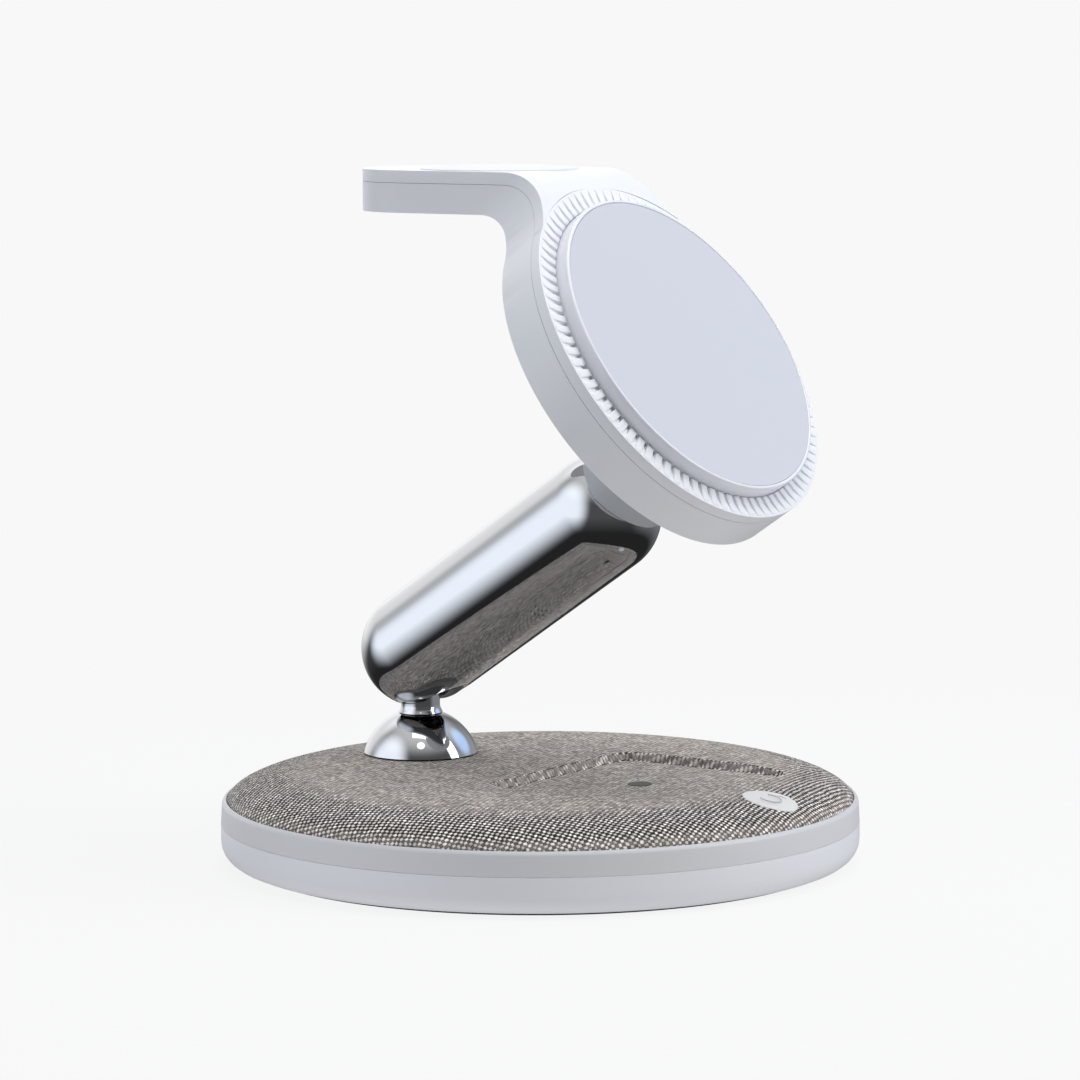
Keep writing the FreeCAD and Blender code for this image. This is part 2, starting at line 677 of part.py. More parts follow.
def from_hinge(shape):
    """Moves a shape built along the head's normal from the upper pivot onto the head."""
    shape.rotate(Vector(0, 0, 0), X_AXIS, HEAD_TURN_DEG)
    shape.translate(UPPER_PIVOT)
    return shape


def hinge_boss():
    """Round plastic boss under the head, cupped to follow the arm's ball end."""
    back = HINGE_TO_RING - HEAD_T
    tilt = math.radians(BOSS_TILT_DEG)
    axis = Vector(0, math.sin(tilt), math.cos(tilt))
    body = Part.makeCylinder(BOSS_R, 2 * back, Vector(0, 0, 0), axis)
    keep = box(4 * BOSS_R, -REACH, BOSS_TOP_Y, BOSS_FLOOR_Z, back - JOIN_GAP)
    body = body.common(keep).cut(Part.makeSphere(ARM_R + CUP_GAP))
    return from_hinge(body.cut(cylinder(TONGUE_R + JOIN_GAP, 0, back)))


def tongue_screws():
    tip = HINGE_TO_RING - HEAD_T + SCREW_TIP_SKIN + JOIN_GAP
    seat = HINGE_TO_RING - HEAD_T + HEAD_WALL + FLANGE_T + 2 * JOIN_GAP
    screws = []
    for x, y in flange_points():
        shank = cylinder(HEAD_SCREW_R, tip, seat + HEAD_SCREW_CAP_H, x, y)
        head = cylinder(HEAD_SCREW_CAP_R, seat, seat + HEAD_SCREW_CAP_H, x, y)
        screws.append(fused(shank, head))
    return from_hinge(Part.makeCompound(screws))


# Head housing

def bend(depth, level, radius):
    """Start, middle and end of the arc that joins a slanted plane to a level one."""
    on_plane = RING_CENTRE - HEAD_NORMAL * depth
    corner = on_plane + HEAD_UP * ((level - on_plane.z) / HEAD_UP.z)
    tangent = radius * math.tan(math.acos(HEAD_UP.y) / 2)
    start = corner - HEAD_UP * tangent
    end = corner + Y_AXIS * tangent
    centre = start - HEAD_NORMAL * radius
    return start, centre + (corner - centre).normalize() * radius, end


def head_section(front, back):
    """Bent side section of the head, drawn in from its front and back faces."""
    top = SHELF_TOP_Z - front
    under = SHELF_TOP_Z - SHELF_T + back
    outer = bend(front, top, BEND_OUTER_R - front)
    inner = bend(HEAD_T - back, under, BEND_INNER_R + back)
    foot = HEAD_UP * -(1.5 * HEAD_R)
    low_front = RING_CENTRE - HEAD_NORMAL * front + foot
    low_back = RING_CENTRE - HEAD_NORMAL * (HEAD_T - back) + foot
    end_top = Vector(0, REACH, top)
    end_under = Vector(0, REACH, under)
    edges = [
        Part.makeLine(low_front, outer[0]),
        Part.Arc(*outer).toShape(),
        Part.makeLine(outer[2], end_top),
        Part.makeLine(end_top, end_under),
        Part.makeLine(end_under, inner[2]),
        Part.Arc(inner[2], inner[1], inner[0]).toShape(),
        Part.makeLine(inner[0], low_back),
        Part.makeLine(low_back, low_front)]
    section = Part.Face(Part.Wire(edges)).extrude(X_AXIS * (4 * HEAD_R))
    section.translate(X_AXIS * (-2 * HEAD_R))
    return section


def head_outline(inset):
    """Round plate blended into a narrower strap, as a column along the head's normal."""
    radius = HEAD_R - inset
    half = STRAP_HALF_W - inset
    blend = STRAP_BLEND_R + inset
    cx = half + blend
    cy = math.sqrt((radius + blend) ** 2 - cx ** 2)
    touch = Vector(cx, cy, 0) * (radius / (radius + blend))
    centre = Vector(cx, cy, 0)
    halfway = (Vector(half, cy, 0) - centre).normalize() + (touch - centre).normalize()
    mid = centre + halfway.normalize() * blend
    far = REACH
    flip = [Vector(-p.x, p.y, 0) for p in (touch, mid)]
    edges = [
        Part.Arc(flip[0], Vector(0, -radius, 0), touch).toShape(),
        Part.Arc(touch, mid, Vector(half, cy, 0)).toShape(),
        Part.makeLine(Vector(half, cy, 0), Vector(half, far, 0)),
        Part.makeLine(Vector(half, far, 0), Vector(-half, far, 0)),
        Part.makeLine(Vector(-half, far, 0), Vector(-half, cy, 0)),
        Part.Arc(Vector(-half, cy, 0), flip[1], flip[0]).toShape()]
    face = Part.Face(Part.Wire(edges))
    face.translate(Z_AXIS * -REACH)
    return on_head(face.extrude(Z_AXIS * (2 * REACH)))


def shelf_end(inset):
    """Column along Z that rounds off the shelf's free end."""
    z0 = -REACH
    block = box(4 * HEAD_R, -2 * REACH, SHELF_ROUND_Y, z0, 3 * REACH)
    return fused(block, cylinder(STRAP_HALF_W - inset, z0, 3 * REACH, 0, SHELF_ROUND_Y))


def head_band(front, back, inset):
    return head_section(front, back).common(head_outline(inset)).common(shelf_end(inset))


def head_body():
    """Whole head with its front and back rims rounded, before it is split into cover and shell."""
    body = head_band(0, 0, 0)
    skin = head_section(TOUCH, TOUCH)
    rims = []
    for edge in body.Edges:
        first, last = edge.ParameterRange
        points = [edge.valueAt(p) for p in (first, (first + last) / 2, last)]
        straight = edge.Curve.TypeId == "Part::GeomLine"
        across = straight and abs(edge.tangentAt(first).x) > 1 - TOUCH
        inside = any(skin.isInside(p, TOUCH / 10, True) for p in points)
        if not inside and not across:
            rims.append(edge)
    return body.makeFillet(EDGE_ROUND, rims)


def head_rear_shell():
    """Deep shell behind the cover, with the tongue's hole and bosses for the chassis."""
    shell = head_body().common(head_section(COVER_T, -PAST))
    shell = shell.cut(head_band(COVER_T - PAST, HEAD_WALL, HEAD_WALL))
    floor = HEAD_WALL - HEAD_T
    screw_bore = HEAD_SCREW_R + JOIN_GAP
    cuts = [cylinder(TONGUE_R + JOIN_GAP, -HEAD_T - PAST, floor + PAST, 0, -HINGE_DROP)]
    for x, y in flange_points():
        cuts.append(cylinder(screw_bore, SCREW_TIP_SKIN - HEAD_T, floor, x, y - HINGE_DROP))
    boss_top = -COVER_T - CHASSIS_T - JOIN_GAP
    bosses = [cylinder(CHASSIS_BOSS_R, floor - HEAD_WALL / 4, boss_top, x, y) for x, y in chassis_points()]
    for x, y in chassis_points():
        cuts.append(cylinder(screw_bore, floor, boss_top, x, y))
    shell = fused(shell, *[on_head(b) for b in bosses])
    return shell.cut([on_head(c) for c in cuts])


def chassis_points():
    for i in range(4):
        a = math.radians(45 + 90 * i)
        yield CHASSIS_PITCH_R * math.cos(a), CHASSIS_PITCH_R * math.sin(a)


def cover_foot_y():
    """Height on the head where the cover beside the grip ring is thick enough to end."""
    edge = HEAD_R + JOIN_GAP + COVER_END_T
    span = HEAD_R + STRAP_BLEND_R
    bearing = math.acos((STRAP_HALF_W + STRAP_BLEND_R) / span)
    bearing += math.acos((edge ** 2 + span ** 2 - STRAP_BLEND_R ** 2) / (2 * edge * span))
    return edge * math.sin(bearing)


def head_front_cover():
    """Thin front cover of the strap and shelf, open for the pad and the puck."""
    cover = head_body().cut(head_section(COVER_T, -PAST))
    cover = cover.cut(on_head(box(4 * HEAD_R, -2 * HEAD_R, cover_foot_y(), -HEAD_T, PAST)))
    pad_room = on_head(cylinder(HEAD_R + JOIN_GAP, -HEAD_T, PAST))
    puck_room = cylinder(PUCK_R + JOIN_GAP, SHELF_TOP_Z - SHELF_T, SHELF_TOP_Z + PAST, 0, PUCK_Y)
    return cover.cut([pad_room, puck_room])


def head_chassis():
    z0 = -COVER_T - CHASSIS_T
    z1 = -COVER_T - JOIN_GAP
    plate = cylinder(HEAD_R - HEAD_WALL - CHASSIS_GAP, z0, z1)
    holes = [cylinder(HEAD_SCREW_R + JOIN_GAP, z0, z1, x, y) for x, y in chassis_points()]
    return on_head(plate.cut(holes))


def chassis_screws():
    z0 = HEAD_WALL - HEAD_T + JOIN_GAP
    screws = [cylinder(HEAD_SCREW_R, z0, -COVER_T - JOIN_GAP, x, y) for x, y in chassis_points()]
    return on_head(Part.makeCompound(screws))


def grip_ring():
    """Ring round the phone pad with a raised rib every few degrees for the fingers."""
    body = ring(HEAD_R, PAD_R + JOIN_GAP, -COVER_T, -RIB_H)
    ribs = []
    inner = PAD_R + RIB_INSET
    for i in range(RIB_COUNT):
        rib = Part.makeBox(HEAD_R + PAST - inner, RIB_W, 2 * RIB_H, Vector(inner, -RIB_W / 2, -2 * RIB_H))
        rib.rotate(Vector(0, 0, 0), Z_AXIS, 360.0 * i / RIB_COUNT)
        ribs.append(rib)
    crown = Part.makeCompound(ribs).common(cylinder(HEAD_R, -COVER_T, 0))
    return on_head(body.fuse(crown.Solids).removeSplitter())


def pad_bezel():
    z0 = -COVER_T
    cup = cylinder(PAD_R, z0, PAD_PROUD)
    cup = cup.makeFillet(BEZEL_ROUND, [e for e in cup.Edges if e.BoundBox.ZMin > PAD_PROUD - TOUCH])
    return on_head(cup.cut(cylinder(PAD_R - BEZEL_WALL, z0 + BEZEL_FLOOR_T, PAD_PROUD + PAST)))


def pad_face():
    z1 = PAD_PROUD - FACE_SUNK
    return on_head(cylinder(PAD_R - BEZEL_WALL - JOIN_GAP, z1 - FACE_T, z1))


def pad_floor():
    return -COVER_T + BEZEL_FLOOR_T + JOIN_GAP


def magnet_ring():
    top = PAD_PROUD - FACE_SUNK - FACE_T - JOIN_GAP
    return on_head(ring(MAGNET_R, MAGNET_R - MAGNET_W, pad_floor(), top))


def phone_ferrite():
    return on_head(cylinder(PHONE_COIL_R + FERRITE_MARGIN, pad_floor(), pad_floor() + FERRITE_T))


def phone_coil():
    z0 = pad_floor() + FERRITE_T
    top = PAD_PROUD - FACE_SUNK - FACE_T - JOIN_GAP
    return on_head(ring(PHONE_COIL_R, PHONE_COIL_BORE_R, z0, top))


def head_board():
    z1 = -COVER_T - CHASSIS_T - JOIN_GAP
    width = 2 * (CHASSIS_PITCH_R * math.sqrt(0.5) - CHASSIS_BOSS_R - HEAD_BOARD_GAP)
    y0 = HEAD_BOARD_Y - HEAD_BOARD_H / 2
    return on_head(box(width, y0, y0 + HEAD_BOARD_H, z1 - HEAD_BOARD_T, z1))


# Watch puck

def watch_puck():
    z0 = SHELF_TOP_Z - COVER_T
    rim_z = SHELF_TOP_Z + PUCK_RIM
    body = cylinder(PUCK_R, z0, rim_z, 0, PUCK_Y)
    ball_r = (PUCK_R ** 2 + PUCK_CROWN ** 2) / (2 * PUCK_CROWN)
    ball = Part.makeSphere(ball_r, Vector(0, PUCK_Y, rim_z + PUCK_CROWN - ball_r))
    crown = ball.common(cylinder(PUCK_R, rim_z, rim_z + 2 * PUCK_CROWN, 0, PUCK_Y))
    return fused(body, crown)


def watch_coil():
    top = SHELF_TOP_Z - COVER_T - JOIN_GAP
    return ring(WATCH_COIL_R, WATCH_COIL_BORE_R, top - COIL_T, top, 0, PUCK_Y)


def watch_magnet():
    top = SHELF_TOP_Z - COVER_T - JOIN_GAP
    return cylinder(WATCH_MAGNET_R, top - COIL_T, top, 0, PUCK_Y)


NODES = {
    "base_lower_shell": base_lower_shell,
    "base_trim_ring": base_trim_ring,
    "base_deck": base_deck,
    "fabric_cover": fabric_cover,
    "touch_key": touch_key,
    "earbud_pad_mark": earbud_pad_mark,
    "counterweight": counterweight,
    "anti_slip_ring": anti_slip_ring,
    "earbud_coil": earbud_coil,
    "earbud_ferrite": earbud_ferrite,
    "touch_sensor": touch_sensor,
    "main_board": main_board,
    "board_standoffs": board_standoffs,
    "usb_port": usb_port,
    "base_screws": base_screws,
    "swivel_dome": swivel_dome,
    "swivel_washer": swivel_washer,
    "swivel_spring_washer": swivel_spring_washer,
    "swivel_nut": swivel_nut,
    "neck_stem": neck_stem,
    "arm_shell": arm_shell,
    "arm_end_cap": arm_end_cap,
    "lower_fork": lower_fork,
    "upper_fork": upper_fork,
    "lower_hinge_pin": lambda: hinge_pin(LOWER_PIVOT),
    "upper_hinge_pin": lambda: hinge_pin(UPPER_PIVOT),
    "lower_friction_washers": lambda: friction_washers(LOWER_PIVOT, LOWER_EYE_W, LOWER_GAP_HALF),
    "upper_friction_washers": lambda: friction_washers(UPPER_PIVOT, UPPER_EYE_W, UPPER_GAP_HALF),
    "head_tongue": head_tongue,
    "hinge_boss": hinge_boss,
    "tongue_screws": tongue_screws,
    "head_rear_shell": head_rear_shell,
    "head_front_cover": head_front_cover,
    "head_chassis": head_chassis,
    "chassis_screws": chassis_screws,
    "grip_ring": grip_ring,
    "pad_bezel": pad_bezel,
    "pad_face": pad_face,
    "magnet_ring": magnet_ring,
    "phone_ferrite": phone_ferrite,
    "phone_coil": phone_coil,
    "head_board": head_board,
    "watch_puck": watch_puck,
    "watch_coil": watch_coil,
    "watch_magnet": watch_magnet}

os.makedirs("parts", exist_ok=True)
for name, make in NODES.items():
    make().exportStep("parts/" + name + ".step")
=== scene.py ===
import math

import bmesh
import bpy
from mathutils import Matrix, Vector


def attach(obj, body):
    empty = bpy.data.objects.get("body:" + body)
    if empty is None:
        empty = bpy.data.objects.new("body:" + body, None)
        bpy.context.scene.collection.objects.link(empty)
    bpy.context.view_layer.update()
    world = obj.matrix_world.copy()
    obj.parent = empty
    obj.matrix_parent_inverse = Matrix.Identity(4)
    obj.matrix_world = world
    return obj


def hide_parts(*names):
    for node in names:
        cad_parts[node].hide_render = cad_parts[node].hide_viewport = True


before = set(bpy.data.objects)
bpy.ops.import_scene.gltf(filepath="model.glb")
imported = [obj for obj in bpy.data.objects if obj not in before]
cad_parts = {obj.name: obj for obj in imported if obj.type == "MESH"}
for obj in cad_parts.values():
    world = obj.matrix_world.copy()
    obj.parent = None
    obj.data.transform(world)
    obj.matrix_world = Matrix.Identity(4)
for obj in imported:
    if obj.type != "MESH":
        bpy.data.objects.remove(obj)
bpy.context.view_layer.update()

# Camera and studio
# A long lens looks a little down on the stand from its left front, on a pale round of seamless floor.
# White walls of soft light stand at its left and back, with a tall box at the right front,
# a wide one overhead and one round key lamp.

MM = 0.001
view_azimuth = math.radians(-54.883)
view_pitch = math.radians(6.521)
view_roll = math.radians(-0.21)
view_distance = 777.8 * MM
aim_right, aim_up = 0.08 * MM, -54.97 * MM

back = Vector((
    math.sin(view_azimuth) * math.cos(view_pitch),
    -math.cos(view_azimuth) * math.cos(view_pitch),
    math.sin(view_pitch)))
right = Vector((math.cos(view_azimuth), math.sin(view_azimuth), 0))
up = back.cross(right)
right, up = (
    right * math.cos(view_roll) + up * math.sin(view_roll),
    up * math.cos(view_roll) - right * math.sin(view_roll))
camera_data = bpy.data.cameras.new("camera")
camera_data.lens = 150
camera_data.sensor_width = 36
camera_data.clip_start = 0.05
camera = bpy.data.objects.new("camera", camera_data)
spot = back * view_distance - right * aim_right - up * aim_up
camera.matrix_world = Matrix((
    (right.x, up.x, back.x, spot.x),
    (right.y, up.y, back.y, spot.y),
    (right.z, up.z, back.z, spot.z),
    (0, 0, 0, 1)))
bpy.context.scene.collection.objects.link(camera)
bpy.context.scene.camera = camera


def linear(colour):
    """sRGB hex to the linear colour that shaders take."""
    parts = [int(colour[i:i + 2], 16) / 255 for i in (1, 3, 5)]
    return [c / 12.92 if c <= 0.04045 else ((c + 0.055) / 1.055) ** 2.4 for c in parts] + [1.0]


def add_node(tree, kind, settings=None, **inputs):
    """Adds a node, sets its properties, and sets or links its inputs, by name or as i and a number."""
    made = tree.nodes.new(kind)
    for key, value in (settings or {}).items():
        setattr(made, key, value)
    for key, value in inputs.items():
        numbered = key[0] == "i" and key[1:].isdigit()
        socket = made.inputs[int(key[1:]) if numbered else key.replace("_", " ")]
        if isinstance(value, bpy.types.NodeSocket):
            tree.links.new(value, socket)
        else:
            socket.default_value = value
    return made


def surface(name, colour, **shader):
    """A new material with its Principled shader's own sockets set."""
    material = bpy.data.materials.new(name)
    material.use_nodes = True
    material.diffuse_color = linear(colour)
    bsdf = material.node_tree.nodes["Principled BSDF"]
    bsdf.inputs["Base Color"].default_value = linear(colour)
    for key, value in shader.items():
        bsdf.inputs[key.replace("_", " ")].default_value = value
    return material, material.node_tree, bsdf


def ramp(tree, value, start, end, low=0.0, high=1.0, kind="SMOOTHSTEP"):
    """A value's range between start and end, mapped to low and high."""
    return add_node(
        tree, "ShaderNodeMapRange", {"interpolation_type": kind},
        Value=value, i1=start, i2=end, i3=low, i4=high).outputs[0]


floor_half = 600 * MM
floor_mesh = bmesh.new()
bmesh.ops.create_grid(floor_mesh, x_segments=1, y_segments=1, size=floor_half)
floor_data = bpy.data.meshes.new("floor")
floor_mesh.to_mesh(floor_data)
floor_mesh.free()
floor = bpy.data.objects.new("floor", floor_data)
bpy.context.scene.collection.objects.link(floor)
floor.visible_glossy = False

# Matt white paper, almost overexposed, so only a trace of shadow shows under the base.
# It fades into the backdrop all round.
floor_paper, tree, bsdf = surface("seamless_paper", "#606060", Roughness=1.0, Specular_IOR_Level=0.0)
bsdf.inputs["Emission Color"].default_value = linear("#F8F8F8")
bsdf.inputs["Emission Strength"].default_value = 0.88
where = add_node(tree, "ShaderNodeTexCoord").outputs["Object"]
far = add_node(tree, "ShaderNodeVectorMath", {"operation": "LENGTH"}, Vector=where).outputs["Value"]
tree.links.new(ramp(tree, far, 70 * MM, 300 * MM, 1.0, 0.0), bsdf.inputs["Alpha"])
floor_data.materials.append(floor_paper)

world = bpy.data.worlds.new("studio")
world.use_nodes = True
bpy.context.scene.world = world
bpy.context.scene.view_settings.view_transform = "Standard"
tree = world.node_tree
toward = add_node(tree, "ShaderNodeTexCoord").outputs["Generated"]


def heading(azimuth, elevation):
    """Unit vector from the stand, with azimuth from the front round to the right."""
    a, e = math.radians(azimuth), math.radians(elevation)
    return math.sin(a) * math.cos(e), -math.cos(a) * math.cos(e), math.sin(e)


def spread(azimuth, elevation, inner, outer):
    """Soft round patch of the surroundings, whole inside one angle and gone at the other."""
    cosine = add_node(
        tree, "ShaderNodeVectorMath", {"operation": "DOT_PRODUCT"}, i0=toward, i1=heading(azimuth, elevation))
    return ramp(tree, cosine.outputs["Value"], math.cos(math.radians(outer)), math.cos(math.radians(inner)))


def lit_by(so_far, colour, strength, *masks):
    """Adds one patch of light to the surroundings."""
    amount = strength
    for mask in masks:
        amount = add_node(tree, "ShaderNodeMath", {"operation": "MULTIPLY"}, i0=amount, i1=mask).outputs[0]
    return add_node(
        tree, "ShaderNodeVectorMath", {"operation": "MULTIPLY_ADD"},
        i0=linear(colour)[:3], i1=amount, i2=so_far).outputs[0]


# The walls: faint room light, a pale ceiling, the two white walls at left and back, a small blue window at
# the right front and a grey glow under it. Walls and glow fade towards the floor.
skyward = add_node(tree, "ShaderNodeSeparateXYZ", Vector=toward).outputs["Z"]
over_floor = ramp(tree, skyward, -0.48, 0.02, kind="LINEAR")
room = lit_by((0.02, 0.02, 0.02), "#F4F6FA", 0.07, over_floor)
room = lit_by(room, "#FFFFFF", 0.55, ramp(tree, skyward, 0.4, 0.95))
room = lit_by(room, "#F0F6FF", 1.14, spread(-126, 11, 18, 50), over_floor)
room = lit_by(room, "#FFFFFF", 0.75, spread(152, 20, 16, 44), over_floor)
room = lit_by(room, "#8DB4E6", 1.0, spread(62, 27, 7, 22))
room = lit_by(room, "#E8ECF4", 0.30, spread(60, 0, 20, 60), over_floor)

# Mirrored in the chrome the walls are brighter than as light on the matt pieces, and the camera sees white.
paths = add_node(tree, "ShaderNodeLightPath").outputs
mirrored = ramp(tree, paths["Is Glossy Ray"], 0.0, 1.0, 0.78, 1.65, kind="LINEAR")
lamp_side = add_node(tree, "ShaderNodeBackground", Color=room, Strength=mirrored)
backdrop = add_node(tree, "ShaderNodeBackground", Color=linear("#F8F8F8"))
either = add_node(
    tree, "ShaderNodeMixShader", i0=paths["Is Camera Ray"], i1=lamp_side.outputs[0], i2=backdrop.outputs[0])
tree.links.new(either.outputs[0], tree.nodes["World Output"].inputs["Surface"])


def softbox(name, azimuth, elevation, distance, width, height, power, shape="RECTANGLE"):
    """Area lamp at a heading from the stand, turned to its middle."""
    light = bpy.data.lights.new(name, "AREA")
    light.shape = shape
    light.size = width
    light.size_y = height
    light.energy = power
    lamp = bpy.data.objects.new(name, light)
    outward = Vector(heading(azimuth, elevation))
    lamp.location = outward * distance + Vector((0, 0, 50 * MM))
    lamp.rotation_euler = (-outward).to_track_quat("-Z", "Y").to_euler()
    bpy.context.scene.collection.objects.link(lamp)


softbox("top_light", 30, 80, 0.9, 0.8, 0.8, 4.3)
softbox("tall_front_box", 22, 25, 1.0, 0.32, 0.75, 4.2)
softbox("round_key", -55, 50, 1.0, 0.26, 0.26, 0.3, shape="DISK")


# Base housing
# Two injection-moulded ABS parts stacked: a bowl with a rounded foot, and a ring whose lip holds the cloth.
# The ring's spigot drops into the bowl, and four screws from below pull both against the deck.
# The bowl has an opening for the charging port at the back.

base_r = 55.0 * MM
seam_z = 7.0 * MM
seam_gap = 0.01 * MM
lip_z = 10.65 * MM
lip_rise = 0.5 * MM
lip_inner_r = 54.05 * MM
foot_z = 0.5 * MM
foot_round = 3.6 * MM
bowl_inner_r = 52.8 * MM
bowl_floor_z = 2.5 * MM
spigot_r = 51.55 * MM
port_size = (9.44 * MM, 6 * MM, 3.76 * MM)
port_spot = (0, 54 * MM, 4.5 * MM)
port_round = 1.86 * MM
axis_gap = 0.05 * MM


def turned(corners, centre=(0, 0), steps=192):
    """Closed ring of a profile of (radius, height, corner rounding) turned about a vertical axis."""
    bm = bmesh.new()
    verts = [bm.verts.new((r, 0, z)) for r, z, _ in corners]
    for a, b in zip(verts, verts[1:] + verts[:1]):
        bm.edges.new((a, b))
    rounds = [(v, c[2]) for v, c in zip(verts, corners) if c[2] > 0]
    for vert, size in rounds:
        bmesh.ops.bevel(bm, geom=[vert], offset=size, segments=6, profile=0.5, affect="VERTICES", material=-1)
    bmesh.ops.spin(
        bm, geom=bm.verts[:] + bm.edges[:], cent=(0, 0, 0), axis=(0, 0, 1), angle=math.tau,
        steps=steps, use_merge=True)
    bmesh.ops.remove_doubles(bm, verts=bm.verts[:], dist=1e-7)
    bmesh.ops.translate(bm, verts=bm.verts[:], vec=(centre[0], centre[1], 0))
    return bm


def place(bm, name, material, body, nodes, sharp=35):
    """Turns a bmesh into a smooth-shaded piece that rides on a body in place of its CAD nodes."""
    bmesh.ops.recalc_face_normals(bm, faces=bm.faces[:])
    mesh = bpy.data.meshes.new(name)
    bm.to_mesh(mesh)
    bm.free()
    mesh.materials.append(material)
    mesh.shade_smooth()
    mesh.set_sharp_from_angle(angle=math.radians(sharp))
    piece = bpy.data.objects.new(name, mesh)
    bpy.context.scene.collection.objects.link(piece)
    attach(piece, body)
    if nodes:
        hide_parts(*nodes)
    return piece


def combine(bm, other_bm, operation="DIFFERENCE"):
    """Exact boolean of two closed bmeshes, which are used up."""
    pair = []
    for part in (bm, other_bm):
        data = bpy.data.meshes.new("operand")
        part.to_mesh(data)
        part.free()
        made = bpy.data.objects.new("operand", data)
        bpy.context.scene.collection.objects.link(made)
        pair.append(made)
    step = pair[0].modifiers.new("boolean", "BOOLEAN")
    step.operation = operation
    step.solver = "EXACT"
    step.object = pair[1]
    evaluated = pair[0].evaluated_get(bpy.context.evaluated_depsgraph_get())
    rest = bmesh.new()
    rest.from_mesh(evaluated.to_mesh())
    for made in pair:
        data = made.data
        bpy.data.objects.remove(made)
        bpy.data.meshes.remove(data)
    return rest


def bumped(tree, bsdf, strength, distance, relief):
    """Lets a relief tilt the shader's normal."""
    bump = add_node(tree, "ShaderNodeBump", Strength=strength, Distance=distance, Height=relief)
    tree.links.new(bump.outputs["Normal"], bsdf.inputs["Normal"])


def sparked(name, colour, roughness, grit=0.25 * MM, depth=0.03):
    """Plain finish with an even fine grain, as a sparked mould leaves it."""
    material, tree, bsdf = surface(name, colour, Roughness=roughness, IOR=1.53)
    where = add_node(tree, "ShaderNodeTexCoord").outputs["Object"]
    grain = add_node(tree, "ShaderNodeTexNoise", Vector=where, Scale=1 / grit, Detail=2.0).outputs["Fac"]
    bumped(tree, bsdf, depth, 0.2 * MM, grain)
    return material


# ABS straight from a finely sparked mould: satin, with a grain that only softens the shine.
# The real grain is about 0.05 mm. It is drawn five times as coarse, so that it still reaches the picture.
bowl_abs = sparked("satin_moulded_abs_bowl", "#DCDDE3", 0.40)
ring_abs = sparked("satin_moulded_abs_ring", "#CDCED2", 0.45)

bowl = turned([
    (axis_gap, foot_z, 0), (base_r, foot_z, foot_round), (base_r, seam_z - seam_gap, 0.08 * MM),
    (bowl_inner_r, seam_z - seam_gap, 0), (bowl_inner_r, bowl_floor_z, 0), (axis_gap, bowl_floor_z, 0)])
port_room = bmesh.new()
bmesh.ops.create_cube(
    port_room, size=1, matrix=Matrix.Translation(port_spot) @ Matrix.Diagonal((*port_size, 1)))
corners = [e for e in port_room.edges if abs(e.verts[0].co.y - e.verts[1].co.y) > 1 * MM]
bmesh.ops.bevel(
    port_room, geom=corners, offset=port_round, segments=10, profile=0.5, affect="EDGES", material=-1)
bowl = combine(bowl, port_room)
place(bowl, "lower_shell_skin", bowl_abs, "base", ["base_lower_shell"])

collar = turned([
    (base_r, seam_z + seam_gap, 0.08 * MM), (base_r - 0.2 * MM, lip_z, 0.25 * MM),
    (lip_inner_r + 0.3 * MM, lip_z + lip_rise, 0.15 * MM), (lip_inner_r, lip_z + lip_rise, 0.1 * MM),
    (lip_inner_r, 9.0 * MM, 0), (spigot_r, 9.0 * MM, 0), (spigot_r, seam_z + seam_gap, 0)])
place(collar, "trim_ring_skin", ring_abs, "base", ["base_trim_ring"])


# Cloth top
# One round of melange plain weave, light warp over dark weft, bonded to the crowned ABS deck and tucked
# under the lip. A shallow rounded rectangle for an earbud case is pressed into cloth and deck, with a small
# dark dot printed at its centre.

crown_r = 53.95 * MM
flat_r = 32.3 * MM
crown_rise = 5.5 * MM
crown_top = 16.15 * MM
recess_half = (21.4 * MM, 17.5 * MM)
recess_corner = 4.0 * MM
recess_y = -20.7 * MM
recess_floor = 14.85 * MM
recess_wall = 1.0 * MM
swivel_y = 25.6 * MM
swivel_hole_r = 8.7 * MM
key_y = -46.8 * MM
key_r = 4.6 * MM
key_hole_r = key_r - 0.9 * MM
tuck = 1.2 * MM
cloth_t = 0.8 * MM
deck_t = 1.5 * MM
deck_under = 0.85 * MM
dot_r = 2.1 * MM
foot = crown_top - crown_rise
run = crown_r - flat_r


def crown_height(x, y):
    """Height of the crown over a point, before the recess is pressed in."""
    t = min(max((math.hypot(x, y) - flat_r) / run, 0), 1)
    return foot + crown_rise * math.sqrt(1 - t * t)


def pressed(x, y):
    """Share of the pressed recess at a point, from none outside its rim to all on its floor."""
    off_x = abs(x) - recess_half[0] + recess_corner
    off_y = abs(y - recess_y) - recess_half[1] + recess_corner
    inside = recess_corner - math.hypot(max(off_x, 0), max(off_y, 0)) - min(max(off_x, off_y), 0)
    t = min(max(inside / recess_wall, 0), 1)
    return t * t * (3 - 2 * t)


def cloth_length(x, y, z):
    """Length along the cloth from the middle of the crown to a point."""
    r = math.hypot(x, y)
    turn = math.asin(min(max((r - flat_r) / run, 0), 1))
    angles = [turn * (i + 0.5) / 8 for i in range(8)]
    slants = [math.hypot(run * math.cos(a), crown_rise * math.sin(a)) for a in angles]
    return min(r, flat_r) + sum(slants) * turn / 8 + max(foot - z, 0)


def extruded(bm, faces, move):
    """Draws faces out of a bmesh and moves the new ends."""
    grown = bmesh.ops.extrude_face_region(bm, geom=faces)
    ends = [v for v in grown["geom"] if isinstance(v, bmesh.types.BMVert)]
    bmesh.ops.translate(bm, verts=ends, vec=move)


